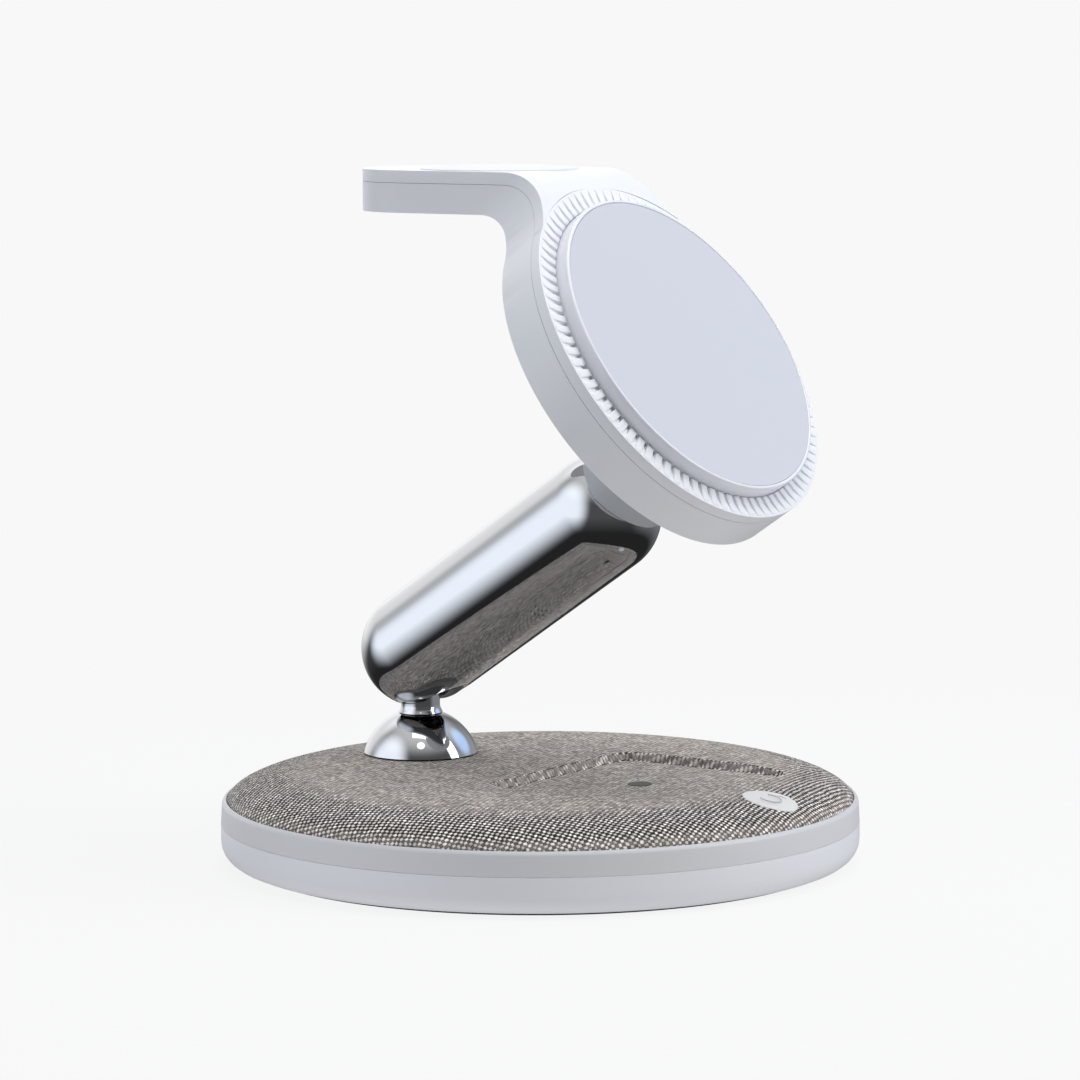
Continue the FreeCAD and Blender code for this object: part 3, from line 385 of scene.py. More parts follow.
cloth = bmesh.new()
start = cloth.verts.new((crown_r, 0, foot))
bmesh.ops.spin(cloth, geom=[start], cent=(flat_r, 0, foot), axis=(0, -1, 0), angle=math.pi / 2, steps=30)
bmesh.ops.scale(
    cloth, verts=cloth.verts[:], vec=(1, 1, crown_rise / run),
    space=Matrix.Translation((0, 0, -foot)))
for pick, shift in ((min, (0, 0, -tuck)), (max, (-flat_r, 0, 0))):
    grown = bmesh.ops.extrude_vert_indiv(cloth, verts=[pick(cloth.verts, key=lambda v: v.co.z)])
    bmesh.ops.translate(cloth, verts=grown["verts"], vec=shift)
bmesh.ops.subdivide_edges(cloth, edges=grown["edges"], cuts=30)
bmesh.ops.spin(
    cloth, geom=cloth.verts[:] + cloth.edges[:], cent=(0, 0, 0), axis=(0, 0, 1), angle=math.tau,
    steps=256, use_merge=True)
bmesh.ops.remove_doubles(cloth, verts=cloth.verts[:], dist=1e-6)
for share in (0, 0.2, 0.4, 0.6, 0.8, 1.0):
    for side in (1, -1):
        for axis, middle in ((0, 0), (1, recess_y)):
            off = [0, 0, 0]
            off[axis] = middle + side * (recess_half[axis] - share * recess_wall)
            bmesh.ops.bisect_plane(
                cloth, geom=cloth.verts[:] + cloth.edges[:] + cloth.faces[:], plane_co=off,
                plane_no=(1 - axis, axis, 0), dist=1e-6)
for vert in cloth.verts:
    share = pressed(vert.co.x, vert.co.y)
    vert.co.z += min(recess_floor - vert.co.z, 0) * share
bmesh.ops.recalc_face_normals(cloth, faces=cloth.faces[:])
for hole_y, hole_r in ((swivel_y, swivel_hole_r), (key_y, key_hole_r)):
    hole_centre = Vector((0, hole_y))
    cut_out = [f for f in cloth.faces if (f.calc_center_median().xy - hole_centre).length < hole_r]
    bmesh.ops.delete(cloth, geom=cut_out, context="FACES")

# The UV map is the cloth's flat cut, turned so that the threads run slantwise to the front.
flat_cut = cloth.loops.layers.uv.new("flat_cut")
grain_turn = Matrix.Rotation(math.radians(32.5), 2)
for vert in cloth.verts:
    stretch = cloth_length(*vert.co) / max(math.hypot(vert.co.x, vert.co.y), 1e-6)
    for loop in vert.link_loops:
        loop[flat_cut].uv = grain_turn @ Vector((vert.co.x * stretch, vert.co.y * stretch))

# Plain-woven polyester, white warp and near-black weft: it reads as fine grey melange where it lies flat.
# Stretched over the slopes the weave opens, and the white crossings stand out as dots. On the recess's steep
# wall they fade again. Each crossing also carries painted shade, lighter at its crown and darker at its
# edges.
thread = 0.6 * MM
weave, tree, bsdf = surface("melange_plain_weave", "#8C8982", Roughness=0.9, Specular_IOR_Level=0.2)
coordinates = add_node(tree, "ShaderNodeTexCoord").outputs
where = coordinates["Object"]


def maths(operation, *values):
    """One step of arithmetic in the material at hand."""
    numbered = {f"i{i}": value for i, value in enumerate(values)}
    return add_node(tree, "ShaderNodeMath", {"operation": operation}, **numbered).outputs[0]


def between(fac, first, second, **settings):
    """Mix of two colours in the material at hand."""
    mix = add_node(tree, "ShaderNodeMix", {"data_type": "RGBA", **settings}, i0=fac, i6=first, i7=second)
    return mix.outputs[2]


def pulled_about(flat, scale, detail, reach):
    """The flat cut with its threads pulled about by a noise."""
    pull = add_node(tree, "ShaderNodeTexNoise", Vector=where, Scale=scale, Detail=detail).outputs["Color"]
    return add_node(
        tree, "ShaderNodeVectorMath", {"operation": "MULTIPLY_ADD"},
        i0=pull, i1=(reach,) * 3, i2=flat).outputs[0]


laid = pulled_about(coordinates["UV"], 90.0, 2.0, 1.2 * MM)
laid = pulled_about(laid, 800.0, 1.0, 0.6 * MM)
axes = add_node(tree, "ShaderNodeSeparateXYZ", Vector=laid)
across = maths("DIVIDE", axes.outputs["X"], thread)
along = maths("DIVIDE", axes.outputs["Y"], thread)
column, row = maths("FLOOR", across), maths("FLOOR", along)
crossing = add_node(tree, "ShaderNodeCombineXYZ", X=column, Y=row).outputs[0]
parity = maths("PINGPONG", maths("ADD", column, row), 1.0)
hump_x = maths("ABSOLUTE", maths("SINE", maths("MULTIPLY", across, math.pi)))
hump_y = maths("ABSOLUTE", maths("SINE", maths("MULTIPLY", along, math.pi)))
bulge = maths("POWER", maths("MULTIPLY", hump_x, hump_y), 0.6)
by_crossing = add_node(tree, "ShaderNodeTexWhiteNoise", {"noise_dimensions": "2D"}, Vector=crossing)
uneven = by_crossing.outputs["Value"]
slubs = add_node(tree, "ShaderNodeTexNoise", Vector=where, Scale=900.0, Detail=3.0, Roughness=0.7)
slub = slubs.outputs["Fac"]
blotch = add_node(tree, "ShaderNodeTexNoise", Vector=where, Scale=260.0, Detail=2.0).outputs["Fac"]
upward = add_node(tree, "ShaderNodeSeparateXYZ", Vector=coordinates["Normal"]).outputs["Z"]
tilt = maths("SUBTRACT", 1.0, upward)
outward = add_node(tree, "ShaderNodeVectorMath", {"operation": "LENGTH"}, Vector=where).outputs["Value"]
kept = ramp(tree, outward, 47 * MM, 49 * MM, 0.1, 0.55, kind="LINEAR")
steep = ramp(tree, tilt, 0.1, 0.3, 1.0, kept)
opened = maths("MULTIPLY", ramp(tree, tilt, 0.002, 0.02), steep)
lit = between(opened, linear("#D4CDC6"), linear("#F6F0EC"))
dim = between(opened, linear("#A79F98"), linear("#372E2A"))
yarn = between(parity, dim, lit)
# Painted shade and highlight: each crossing is painted lighter at its crown and darker at its edges, more so
# where the weave opens.
painted_thread_shade = maths(
    "MULTIPLY_ADD", bulge,
    maths("MULTIPLY_ADD", opened, 0.65, 0.25), maths("MULTIPLY_ADD", opened, -0.55, 0.75))
melange = maths(
    "MULTIPLY_ADD", uneven,
    maths("MULTIPLY_ADD", opened, -0.25, 0.85), maths("MULTIPLY_ADD", opened, 0.2, 0.55))
mottle = maths("MULTIPLY_ADD", blotch, 0.5, maths("MULTIPLY_ADD", slub, 0.7, 0.4))
tone_and_thread_shade = maths("MULTIPLY", maths("MULTIPLY", painted_thread_shade, melange), mottle)
tree.links.new(between(1.0, yarn, tone_and_thread_shade, blend_type="MULTIPLY"), bsdf.inputs["Base Color"])
warp_rise = maths("MULTIPLY", bulge, maths("MULTIPLY_ADD", parity, 0.6, 0.4))
bumped(tree, bsdf, 0.8, 0.15 * MM, maths("ADD", warp_rise, maths("MULTIPLY", slub, 0.3)))

deck = cloth.copy()
cloth_top = place(cloth, "cloth_top", weave, "base", ["fabric_cover"], sharp=80)
thick = cloth_top.modifiers.new("thickness", "SOLIDIFY")
thick.thickness = cloth_t
thick.offset = -1

# Plain grey ABS under the cloth, only seen where a cut is made: flat and a little rough for the bond.
deck_abs = sparked("moulded_grey_abs_deck", "#B9BABD", 0.5)
bmesh.ops.translate(deck, verts=deck.verts[:], vec=(0, 0, -deck_under))
deck_skin = place(deck, "deck_skin", deck_abs, "base", ["base_deck"], sharp=80)
thick = deck_skin.modifiers.new("thickness", "SOLIDIFY")
thick.thickness = deck_t
thick.offset = -1

# Rubbery dark ink laid on the cloth: matt, with a trace of the fibres' unevenness.
print_ink = sparked("rubbery_printed_ink", "#26241F", 0.6, 0.6 * MM, 0.2)
dot = bmesh.new()
bmesh.ops.create_circle(dot, cap_ends=True, radius=dot_r, segments=48)
bmesh.ops.translate(dot, verts=dot.verts[:], vec=(0, recess_y, recess_floor + 0.03 * MM))
extruded(dot, dot.faces[:], (0, 0, 0.08 * MM))
place(dot, "recess_dot", print_ink, "base", ["earbud_pad_mark"])


# Touch key
# A thin satin cap of white ABS that follows the crown's front slope, with a fine arc printed on it as a
# night-light sign. It is bonded over the sensor through a hole in the cloth and has no travel.

key_rise = 0.22 * MM
key_edge_rise = 0.1 * MM
key_skirt = 1.0 * MM
sign_inner_r = 1.78 * MM
sign_outer_r = 1.93 * MM
sign_start = math.radians(150)
sign_sweep = math.radians(255)

# The cap is smoother than the housing, so it has a soft highlight and reads as neutral white on the cloth.
key_abs = sparked("satin_white_key_cap", "#E6E6E7", 0.36)
key = bmesh.new()
bmesh.ops.create_circle(key, cap_ends=True, radius=key_r, segments=96)
for size in (0.12, 0.4, 0.7, 0.7, 0.7, 0.7, 0.7):
    bmesh.ops.inset_region(key, faces=[max(key.faces, key=lambda f: f.calc_area())], thickness=size * MM)
bmesh.ops.translate(key, verts=key.verts[:], vec=(0, key_y, 0))
for vert in key.verts:
    inside = key_r - math.hypot(vert.co.x, vert.co.y - key_y)
    rise = key_edge_rise if inside < 0.05 * MM else key_rise
    vert.co.z = crown_height(vert.co.x, vert.co.y) + rise
skirt = bmesh.ops.extrude_edge_only(key, edges=[e for e in key.edges if e.is_boundary])
hem = [v for v in skirt["geom"] if isinstance(v, bmesh.types.BMVert)]
bmesh.ops.translate(key, verts=hem, vec=(0, 0, -key_skirt))
place(key, "touch_key_cap", key_abs, "base", ["touch_key"], sharp=50)

# Thin pad-printed ink, a shade below the cap, that shows as a faint matt line.
sign_ink = sparked("pale_grey_key_print", "#C4C5C9", 0.55)
sign = bmesh.new()
sign_centre = Vector((0.25 * MM, key_y + 0.1 * MM, 0))
start_way = Vector((math.cos(sign_start), math.sin(sign_start), 0))
stroke = [sign.verts.new(sign_centre + start_way * r) for r in (sign_inner_r, sign_outer_r)]
bmesh.ops.spin(
    sign, geom=stroke + [sign.edges.new(stroke)], cent=sign_centre, axis=(0, 0, 1), angle=sign_sweep,
    steps=60)
extruded(sign, sign.faces[:], (0, 0, 0.18 * MM))
for vert in sign.verts:
    vert.co.z += crown_height(vert.co.x, vert.co.y) + 0.12 * MM
place(sign, "key_sign", sign_ink, "base", [])


# Chrome dome and neck
# A turned brass dome, chrome plated, rides on a washer over the deck, and a short plated neck screws into
# its top. The neck ends in a flat-sided eye on the arm's lower hinge pin; only the round sleeve below the eye
# is drawn.

dome_r = 10.4 * MM
dome_z = 13.6 * MM
dome_under = 16.45 * MM
neck_r = 3.4 * MM
neck_base = dome_z + math.sqrt(dome_r ** 2 - neck_r ** 2)
eye_r = 4.4 * MM
lower_pivot = Vector((0, swivel_y, 34.7 * MM))

# Mirror-bright chrome with a faint haze of wiping, which softens what it mirrors here and there.
chrome, tree, bsdf = surface("polished_chrome_plate", "#B4B5B7", Metallic=1.0, Roughness=0.06)
where = add_node(tree, "ShaderNodeTexCoord").outputs["Object"]
haze = add_node(tree, "ShaderNodeTexNoise", Vector=where, Scale=120.0, Detail=4.0).outputs["Fac"]
tree.links.new(ramp(tree, haze, 0.3, 0.7, 0.04, 0.07, kind="LINEAR"), bsdf.inputs["Roughness"])

dome = bmesh.new()
bmesh.ops.create_uvsphere(dome, u_segments=128, v_segments=96, radius=dome_r)
bmesh.ops.translate(dome, verts=dome.verts[:], vec=(0, swivel_y, dome_z))
for height, above in ((dome_under, False), (neck_base, True)):
    cut = bmesh.ops.bisect_plane(
        dome, geom=dome.verts[:] + dome.edges[:] + dome.faces[:], plane_co=(0, 0, height),
        plane_no=(0, 0, 1), clear_outer=above, clear_inner=not above)
    loop = [e for e in cut["geom_cut"] if isinstance(e, bmesh.types.BMEdge)]
    bmesh.ops.contextual_create(dome, geom=loop)
place(dome, "dome_shell", chrome, "swivel", ["swivel_dome"], sharp=40)

neck = turned([
    (0.3 * MM, neck_base + 0.02 * MM, 0), (neck_r + 0.5 * MM, neck_base - 0.02 * MM, 0.1 * MM),
    (neck_r, neck_base + 0.9 * MM, 0.5 * MM), (neck_r, lower_pivot.z - eye_r, 0.5 * MM),
    (0.3 * MM, lower_pivot.z - 4.0 * MM, 0)], centre=(0, swivel_y), steps=96)
place(neck, "neck_sleeve", chrome, "swivel", ["neck_stem"], sharp=40)


# Capsule arm
# A drawn and plated tube with round ends, slotted below for the neck and in front for the head's tongue.
# Steel forks pressed inside carry both hinge pins, so no pin shows from outside.

arm_r = 10.3 * MM
arm_wall = 1.2 * MM
arm_l = 46.25 * MM
neck_slot_half = 4.0 * MM
neck_swing = (180, 220)
tongue_slot_half = 3.05 * MM
tongue_swing = (35, 108)
arm_elev = math.radians(33.8)
arm_axis = Vector((0, -math.cos(arm_elev), math.sin(arm_elev)))
upper_pivot = lower_pivot + arm_axis * arm_l
along_arm = Matrix.Translation(lower_pivot) @ Matrix.Rotation(math.pi / 2 - arm_elev, 4, "X")


def capsule(radius):
    """Round-ended tube along Z, by parting a sphere at its equator."""
    bm = bmesh.new()
    bmesh.ops.create_uvsphere(bm, u_segments=128, v_segments=64, radius=radius)
    girdle = [e for e in bm.edges if all(abs(v.co.z) < 1e-7 for v in e.verts)]
    bmesh.ops.split_edges(bm, edges=girdle)
    top = [f for f in bm.faces if f.calc_center_median().z > 0]
    bmesh.ops.translate(bm, verts=list({v for f in top for v in f.verts}), vec=(0, 0, arm_l))
    bmesh.ops.bridge_loops(bm, edges=[e for e in bm.edges if e.is_boundary])
    return bm


def slot_cutter(half, first, last, centre_z):
    """Flared slot of a round bar that swings about X between two angles, measured from +Y to +Z."""
    reach = [
        (0, 4), (1, 4), (1, 9.2), (1.03, 9.55), (1.1, 9.85), (1.22, 10.1), (1.42, 10.32), (1.7, 10.45),
        (1.7, 13), (0, 13)]
    bm = bmesh.new()
    for angle, sweep in ((first, math.pi), (last, -math.pi)):
        outline = [bm.verts.new((half * x, 0, r * MM)) for x, r in reach]
        edges = [bm.edges.new(pair) for pair in zip(outline, outline[1:])]
        bmesh.ops.spin(
            bm, geom=outline + edges, cent=(0, 0, 0), axis=(0, 0, 1), angle=sweep, steps=24)
        end_cap = [v for v in bm.verts if not v.tag]
        turn = Matrix.Rotation(math.radians(angle) - math.pi / 2, 4, "X")
        bmesh.ops.transform(bm, matrix=turn, verts=end_cap)
        for v in end_cap:
            v.tag = True
    outline = [bm.verts.new((half * x, 0, r * MM)) for x, r in reach]
    outline += [bm.verts.new((-half * x, 0, r * MM)) for x, r in reach[::-1]]
    bmesh.ops.remove_doubles(bm, verts=outline, dist=1e-8)
    outline = [v for v in outline if v.is_valid]
    edges = [bm.edges.new(pair) for pair in zip(outline, outline[1:] + outline[:1])]
    turn = Matrix.Rotation(math.radians(first) - math.pi / 2, 4, "X")
    bmesh.ops.transform(bm, matrix=turn, verts=outline)
    bmesh.ops.spin(
        bm, geom=outline + edges, cent=(0, 0, 0), axis=(1, 0, 0), angle=math.radians(last - first), steps=24)
    bmesh.ops.remove_doubles(bm, verts=bm.verts[:], dist=1e-7)
    bmesh.ops.translate(bm, verts=bm.verts[:], vec=(0, 0, centre_z))
    bmesh.ops.recalc_face_normals(bm, faces=bm.faces[:])
    return bm


tube = combine(capsule(arm_r), capsule(arm_r - arm_wall))
tube = combine(tube, slot_cutter(neck_slot_half, *neck_swing, 0))
tube = combine(tube, slot_cutter(tongue_slot_half, *tongue_swing, arm_l))
bmesh.ops.transform(tube, matrix=along_arm, verts=tube.verts[:])
place(tube, "arm_capsule", chrome, "arm", ["arm_shell", "arm_end_cap"], sharp=40)


# Hinge boss
# A light grey moulded boss on the head's back, round and a little tilted, cupped to follow the ball end of
# the arm. It hides the slot and the steel tongue that carries the head.

head_elev = math.radians(33.84)
normal = Vector((0, -math.cos(head_elev), math.sin(head_elev)))
head_up = Vector((0, math.sin(head_elev), math.cos(head_elev)))
on_hinge = Matrix.Translation(upper_pivot) @ Matrix.Rotation(math.pi / 2 - head_elev, 4, "X")
hinge_to_ring = 29.5 * MM
head_t = 9.05 * MM
boss_r = 8.8 * MM
boss_tilt = math.radians(14)
boss_low = 6 * MM
boss_high = hinge_to_ring - head_t - 0.05 * MM
boss_flat_y = 6.8 * MM
cup_r = arm_r + 0.35 * MM

# Grey ABS from the same sparked mould finish as the housing, a tone darker than the white of the head.
grey_abs = sparked("satin_grey_moulded_abs", "#B4B7BC", 0.4)
boss = bmesh.new()
bmesh.ops.create_cone(
    boss, cap_ends=True, segments=96, radius1=boss_r, radius2=boss_r, depth=40 * MM,
    matrix=Matrix.Rotation(-boss_tilt, 4, "X") @ Matrix.Translation((0, 0, 20 * MM)))
for height, keep_above in ((boss_low, True), (boss_high, False)):
    bmesh.ops.bisect_plane(
        boss, geom=boss.verts[:] + boss.edges[:] + boss.faces[:], plane_co=(0, 0, height),
        plane_no=(0, 0, 1), clear_outer=not keep_above, clear_inner=keep_above)
    bmesh.ops.holes_fill(boss, edges=[e for e in boss.edges if e.is_boundary])
bmesh.ops.bisect_plane(
    boss, geom=boss.verts[:] + boss.edges[:] + boss.faces[:], plane_co=(0, boss_flat_y, 0),
    plane_no=(0, 1, 0), clear_outer=True)
bmesh.ops.holes_fill(boss, edges=[e for e in boss.edges if e.is_boundary])
cup = bmesh.new()
bmesh.ops.create_uvsphere(cup, u_segments=128, v_segments=64, radius=cup_r)
boss = combine(boss, cup)
bmesh.ops.transform(boss, matrix=on_hinge, verts=boss.verts[:])
place(boss, "hinge_boss_skin", grey_abs, "head", ["hinge_boss"], sharp=40)


# Head
# Two white moulded ABS parts with a fine joint 2 mm behind the face: a front cover and a deeper rear shell.
# A round plate for the phone narrows into a strap, which bends back into a level shelf for the watch.

cover_t = 2.1 * MM
head_r = 32.25 * MM
strap_half = 15.15 * MM
strap_blend = 17.0 * MM
shelf_t = 7.2 * MM
shelf_round_y = 18.4 * MM
bend_outer = 10.6 * MM
bend_inner = 8.0 * MM
hinge_under_ring = 14.65 * MM
shelf_over_ring = 29.65 * MM
rim_round = 0.8 * MM
joint_gap = 0.06 * MM
watch_y = 8 * MM
watch_r = 13.6 * MM
ring_centre = upper_pivot + normal * hinge_to_ring + head_up * hinge_under_ring
shelf_top = ring_centre.z + shelf_over_ring
on_head = Matrix.Translation(ring_centre) @ Matrix.Rotation(math.pi / 2 - head_elev, 4, "X")

# Cool white ABS, satin: broad soft highlights on the bend, and a grain far too fine to see as such.
white_abs = sparked("satin_white_moulded_abs", "#F3F5FA", 0.40)


def bend_at(depth, level, radius):
    """Start of a bend on the slanted plane, and its centre."""
    on_plane = ring_centre - normal * depth
    corner = on_plane + head_up * ((level - on_plane.z) / head_up.z)
    start = corner - head_up * (radius * math.tan((math.pi / 2 - math.asin(head_up.y)) / 2))
    return start, start - normal * radius


def bent_section(front, behind):
    """Bent side section between two surfaces of (depth, level, bend radius), drawn out sideways."""
    bm = bmesh.new()
    rows = []
    for depth, level, radius in (front, behind):
        start, centre = bend_at(depth, level, radius)
        vert = bm.verts.new(start)
        swept = bmesh.ops.spin(
            bm, geom=[vert], cent=centre, axis=(-1, 0, 0), angle=math.pi / 2 - math.asin(head_up.y), steps=24)
        tip = swept["geom_last"][0]
        low = bmesh.ops.extrude_vert_indiv(bm, verts=[vert])["verts"]
        bmesh.ops.translate(bm, verts=low, vec=head_up * -70 * MM)
        far = bmesh.ops.extrude_vert_indiv(bm, verts=[tip])["verts"]
        bmesh.ops.translate(bm, verts=far, vec=(0, 60 * MM, 0))
        rows.append((low[0], far[0]))
    bm.edges.new((rows[0][0], rows[1][0]))
    bm.edges.new((rows[0][1], rows[1][1]))
    far_y = max(v.co.y for v in bm.verts)
    for row in rows:
        row[1].co.y = far_y
    face = bmesh.ops.contextual_create(bm, geom=bm.edges[:])["faces"]
    extruded(bm, face, (100 * MM, 0, 0))
    bmesh.ops.translate(bm, verts=bm.verts[:], vec=(-50 * MM, 0, 0))
    bmesh.ops.recalc_face_normals(bm, faces=bm.faces[:])
    return bm


def skin_at(depth):
    """The surface at one depth behind the head's outer skin."""
    return depth, shelf_top - depth, bend_outer - depth


back_surface = (head_t, shelf_top - shelf_t, bend_inner)


def outline_column():
    """Round plate outline blended into the strap, as a column along the head's normal."""
    bm = bmesh.new()
    cx = strap_half + strap_blend
    cy = math.sqrt((head_r + strap_blend) ** 2 - cx ** 2)
    lean = math.atan2(cy, cx)
    ends = []
    low = bm.verts.new((0, -head_r, 0))
    for side in (1, -1):
        arc = bmesh.ops.spin(
            bm, geom=[low], cent=(0, 0, 0), axis=(0, 0, side), angle=math.pi / 2 + lean, steps=72)
        touch = arc["geom_last"][0]
        blend = bmesh.ops.spin(
            bm, geom=[touch], cent=(side * cx, cy, 0), axis=(0, 0, -side), angle=lean, steps=24)
        tip = blend["geom_last"][0]
        grown = bmesh.ops.extrude_vert_indiv(bm, verts=[tip])["verts"]
        bmesh.ops.translate(bm, verts=grown, vec=(0, 60 * MM, 0))
        ends.append(grown[0])
    bm.edges.new(ends)
    face = bmesh.ops.contextual_create(bm, geom=bm.edges[:])["faces"]
    extruded(bm, face, (0, 0, 120 * MM))
    bmesh.ops.translate(bm, verts=bm.verts[:], vec=(0, 0, -90 * MM))
    bmesh.ops.transform(bm, matrix=on_head, verts=bm.verts[:])
    bmesh.ops.recalc_face_normals(bm, faces=bm.faces[:])
    return bm


def shelf_column():
    """Column along Z that rounds off the shelf's free end."""
    bm = bmesh.new()
    top = bm.verts.new((strap_half, shelf_round_y, 0))
    arc = bmesh.ops.spin(
        bm, geom=[top], cent=(0, shelf_round_y, 0), axis=(0, 0, 1), angle=math.pi, steps=64)
    tip = arc["geom_last"][0]
    corners = []
    for vert, side in ((top, 1), (tip, -1)):
        wide = bmesh.ops.extrude_vert_indiv(bm, verts=[vert])["verts"]
        bmesh.ops.translate(bm, verts=wide, vec=(side * 30 * MM, 0, 0))
        front = bmesh.ops.extrude_vert_indiv(bm, verts=wide)["verts"]
        bmesh.ops.translate(bm, verts=front, vec=(0, -110 * MM, 0))
        corners.append(front[0])
    bm.edges.new(corners)
    face = bmesh.ops.contextual_create(bm, geom=bm.edges[:])["faces"]
    extruded(bm, face, (0, 0, 160 * MM))
    bmesh.ops.recalc_face_normals(bm, faces=bm.faces[:])
    return bm


def rim_rounded(bm, size, chosen):
    """Rounds the sharp edges that a test picks by their middle point."""
    bmesh.ops.dissolve_limit(bm, angle_limit=0.001, verts=bm.verts[:], edges=bm.edges[:])
    sharp = [e for e in bm.edges if len(e.link_faces) == 2 and e.calc_face_angle() > 0.6]
    rim = [e for e in sharp if chosen((e.verts[0].co + e.verts[1].co) / 2)]
    bmesh.ops.bevel(
        bm, geom=rim, offset=size, segments=5, profile=0.5, affect="EDGES", material=-1, clamp_overlap=True)
    return bm


def skin_depth(point):
    """Depth of a point behind the head's outer skin."""
    _, centre = bend_at(0, shelf_top, bend_outer)
    if (point - centre).dot(head_up) < 0:
        return (ring_centre - point).dot(normal)
    if point.y > centre.y:
        return shelf_top - point.z
    flat = Vector((0, point.y - centre.y, point.z - centre.z))
    return bend_outer - flat.length


cover = combine(bent_section(skin_at(0), skin_at(cover_t)), outline_column(), "INTERSECT")
cover = combine(cover, shelf_column(), "INTERSECT")
pad_room = bmesh.new()
bmesh.ops.create_cone(
    pad_room, cap_ends=True, segments=192, radius1=head_r + 0.05 * MM, radius2=head_r + 0.05 * MM,
    depth=20 * MM, matrix=on_head)
cover = combine(cover, pad_room)
puck_room = bmesh.new()
bmesh.ops.create_cone(
    puck_room, cap_ends=True, segments=128, radius1=watch_r + 0.05 * MM, radius2=watch_r + 0.05 * MM,
    depth=6 * MM, matrix=Matrix.Translation((0, watch_y, shelf_top)))
cover = combine(cover, puck_room)


def outer_rim(point):
    """Whether a point lies on the cover's outer edge, not on that of the ring's or the puck's room."""
    on_plate = on_head.inverted() @ point
    off_ring = math.hypot(on_plate.x, on_plate.y) > head_r + 0.3 * MM
    off_puck = math.hypot(point.x, point.y - watch_y) > watch_r + 0.6 * MM or skin_depth(point) > 1 * MM
    return off_ring and off_puck and skin_depth(point) < 0.1 * MM


cover = rim_rounded(cover, rim_round, outer_rim)
place(cover, "front_cover_skin", white_abs, "head", ["head_front_cover"], sharp=30)

shell = combine(bent_section(skin_at(cover_t + joint_gap), back_surface), outline_column(), "INTERSECT")
shell = combine(shell, shelf_column(), "INTERSECT")
shell = rim_rounded(shell, rim_round, lambda point: skin_depth(point) > cover_t + 1 * MM)
place(shell, "rear_shell_skin", white_abs, "head", ["head_rear_shell"], sharp=30)


# Grip ring and phone pad
# A ring of the same white ABS carries raised ribs all round, and the pad's bezel stands proud inside it.
# The pad itself is soft lavender-white silicone, let in just below the bezel's polished rim.

pad_r = 28.3 * MM
pad_proud = 2.45 * MM
pad_face_r = 27.6 * MM
pad_face_low = 0.1 * MM
pad_face_t = 1.75 * MM
rib_h = 0.6 * MM
rib_w = 1.42 * MM
ribs = 90

grip = turned([
    (pad_r + 0.05 * MM, -cover_t, 0), (head_r, -cover_t, 0.1 * MM), (head_r, -0.1 * MM, 0.1 * MM),
    (head_r - 0.5 * MM, -0.1 * MM, 0.1 * MM), (pad_r + 0.05 * MM, -rib_h - 0.15 * MM, 0)], steps=180)
rib = bmesh.new()
rib_spot = Matrix.Translation((pad_r / 2 + head_r / 2 - 0.08 * MM, 0, -rib_h * 0.6))
rib_size = Matrix.Diagonal((head_r - pad_r - 0.45 * MM, rib_w, rib_h * 1.2, 1))
bmesh.ops.create_cube(rib, size=1, matrix=rib_spot @ rib_size)
crest = [e for e in rib.edges if all(v.co.z > -0.1 * MM for v in e.verts)]
bmesh.ops.bevel(rib, geom=crest, offset=0.2 * MM, segments=3, profile=0.5, affect="EDGES", material=-1)
rib_mesh = bpy.data.meshes.new("rib")
rib.to_mesh(rib_mesh)
rib.free()
for i in range(ribs):
    before = set(grip.verts)
    grip.from_mesh(rib_mesh)
    bmesh.ops.rotate(
        grip, verts=[v for v in grip.verts if v not in before], cent=(0, 0, 0),
        matrix=Matrix.Rotation(math.tau * i / ribs, 3, "Z"))
bpy.data.meshes.remove(rib_mesh)
bmesh.ops.transform(grip, matrix=on_head, verts=grip.verts[:])
place(grip, "grip_ring_skin", white_abs, "head", ["grip_ring"], sharp=40)

# Diamond-polished mould steel leaves the bezel glossier than the ribs beside it, so its rim carries a glint.
bezel_abs = sparked("polished_white_abs_bezel", "#F0F2F8", 0.22, depth=0.01)
bezel = turned([
    (pad_face_r, -1.3 * MM, 0), (pad_r, -1.3 * MM, 0), (pad_r, pad_proud, 0.35 * MM),
    (pad_face_r + 0.05 * MM, pad_proud, 0.2 * MM), (pad_face_r + 0.05 * MM, 0.5 * MM, 0)], steps=192)
bmesh.ops.transform(bezel, matrix=on_head, verts=bezel.verts[:])
place(bezel, "pad_bezel_skin", bezel_abs, "head", ["pad_bezel"], sharp=40)

# Matt lavender-white silicone: almost no highlight, the light falls off softly over it.
silicone = sparked("soft_touch_silicone", "#D3D6E1", 0.62, 0.33 * MM, 0.05)
pad = bmesh.new()
bmesh.ops.create_circle(pad, cap_ends=True, radius=pad_face_r, segments=192)
extruded(pad, pad.faces[:], (0, 0, pad_face_t))
bmesh.ops.translate(pad, verts=pad.verts[:], vec=(0, 0, pad_proud - pad_face_low - pad_face_t))
bmesh.ops.transform(pad, matrix=on_head, verts=pad.verts[:])
place(pad, "pad_face_skin", silicone, "head", ["pad_face"], sharp=40)


# Watch puck
# A low round silicone-faced puck let into the shelf's top, gently domed to meet the back of a watch.
# It is bonded in over its coil and magnet.

# The puck's silicone is whiter than the pad's, and as matt.
puck_silicone = sparked("soft_touch_white_silicone", "#ECEEF6", 0.6)
puck = turned([
    (axis_gap, shelf_top - cover_t, 0), (watch_r, shelf_top - cover_t, 0),
    (watch_r, shelf_top + 0.2 * MM, 0.15 * MM), (8.5 * MM, shelf_top + 0.62 * MM, 2.0 * MM),
    (axis_gap, shelf_top + 0.75 * MM, 0)], centre=(0, watch_y), steps=128)
place(puck, "watch_puck_skin", puck_silicone, "head", ["watch_puck"], sharp=40)


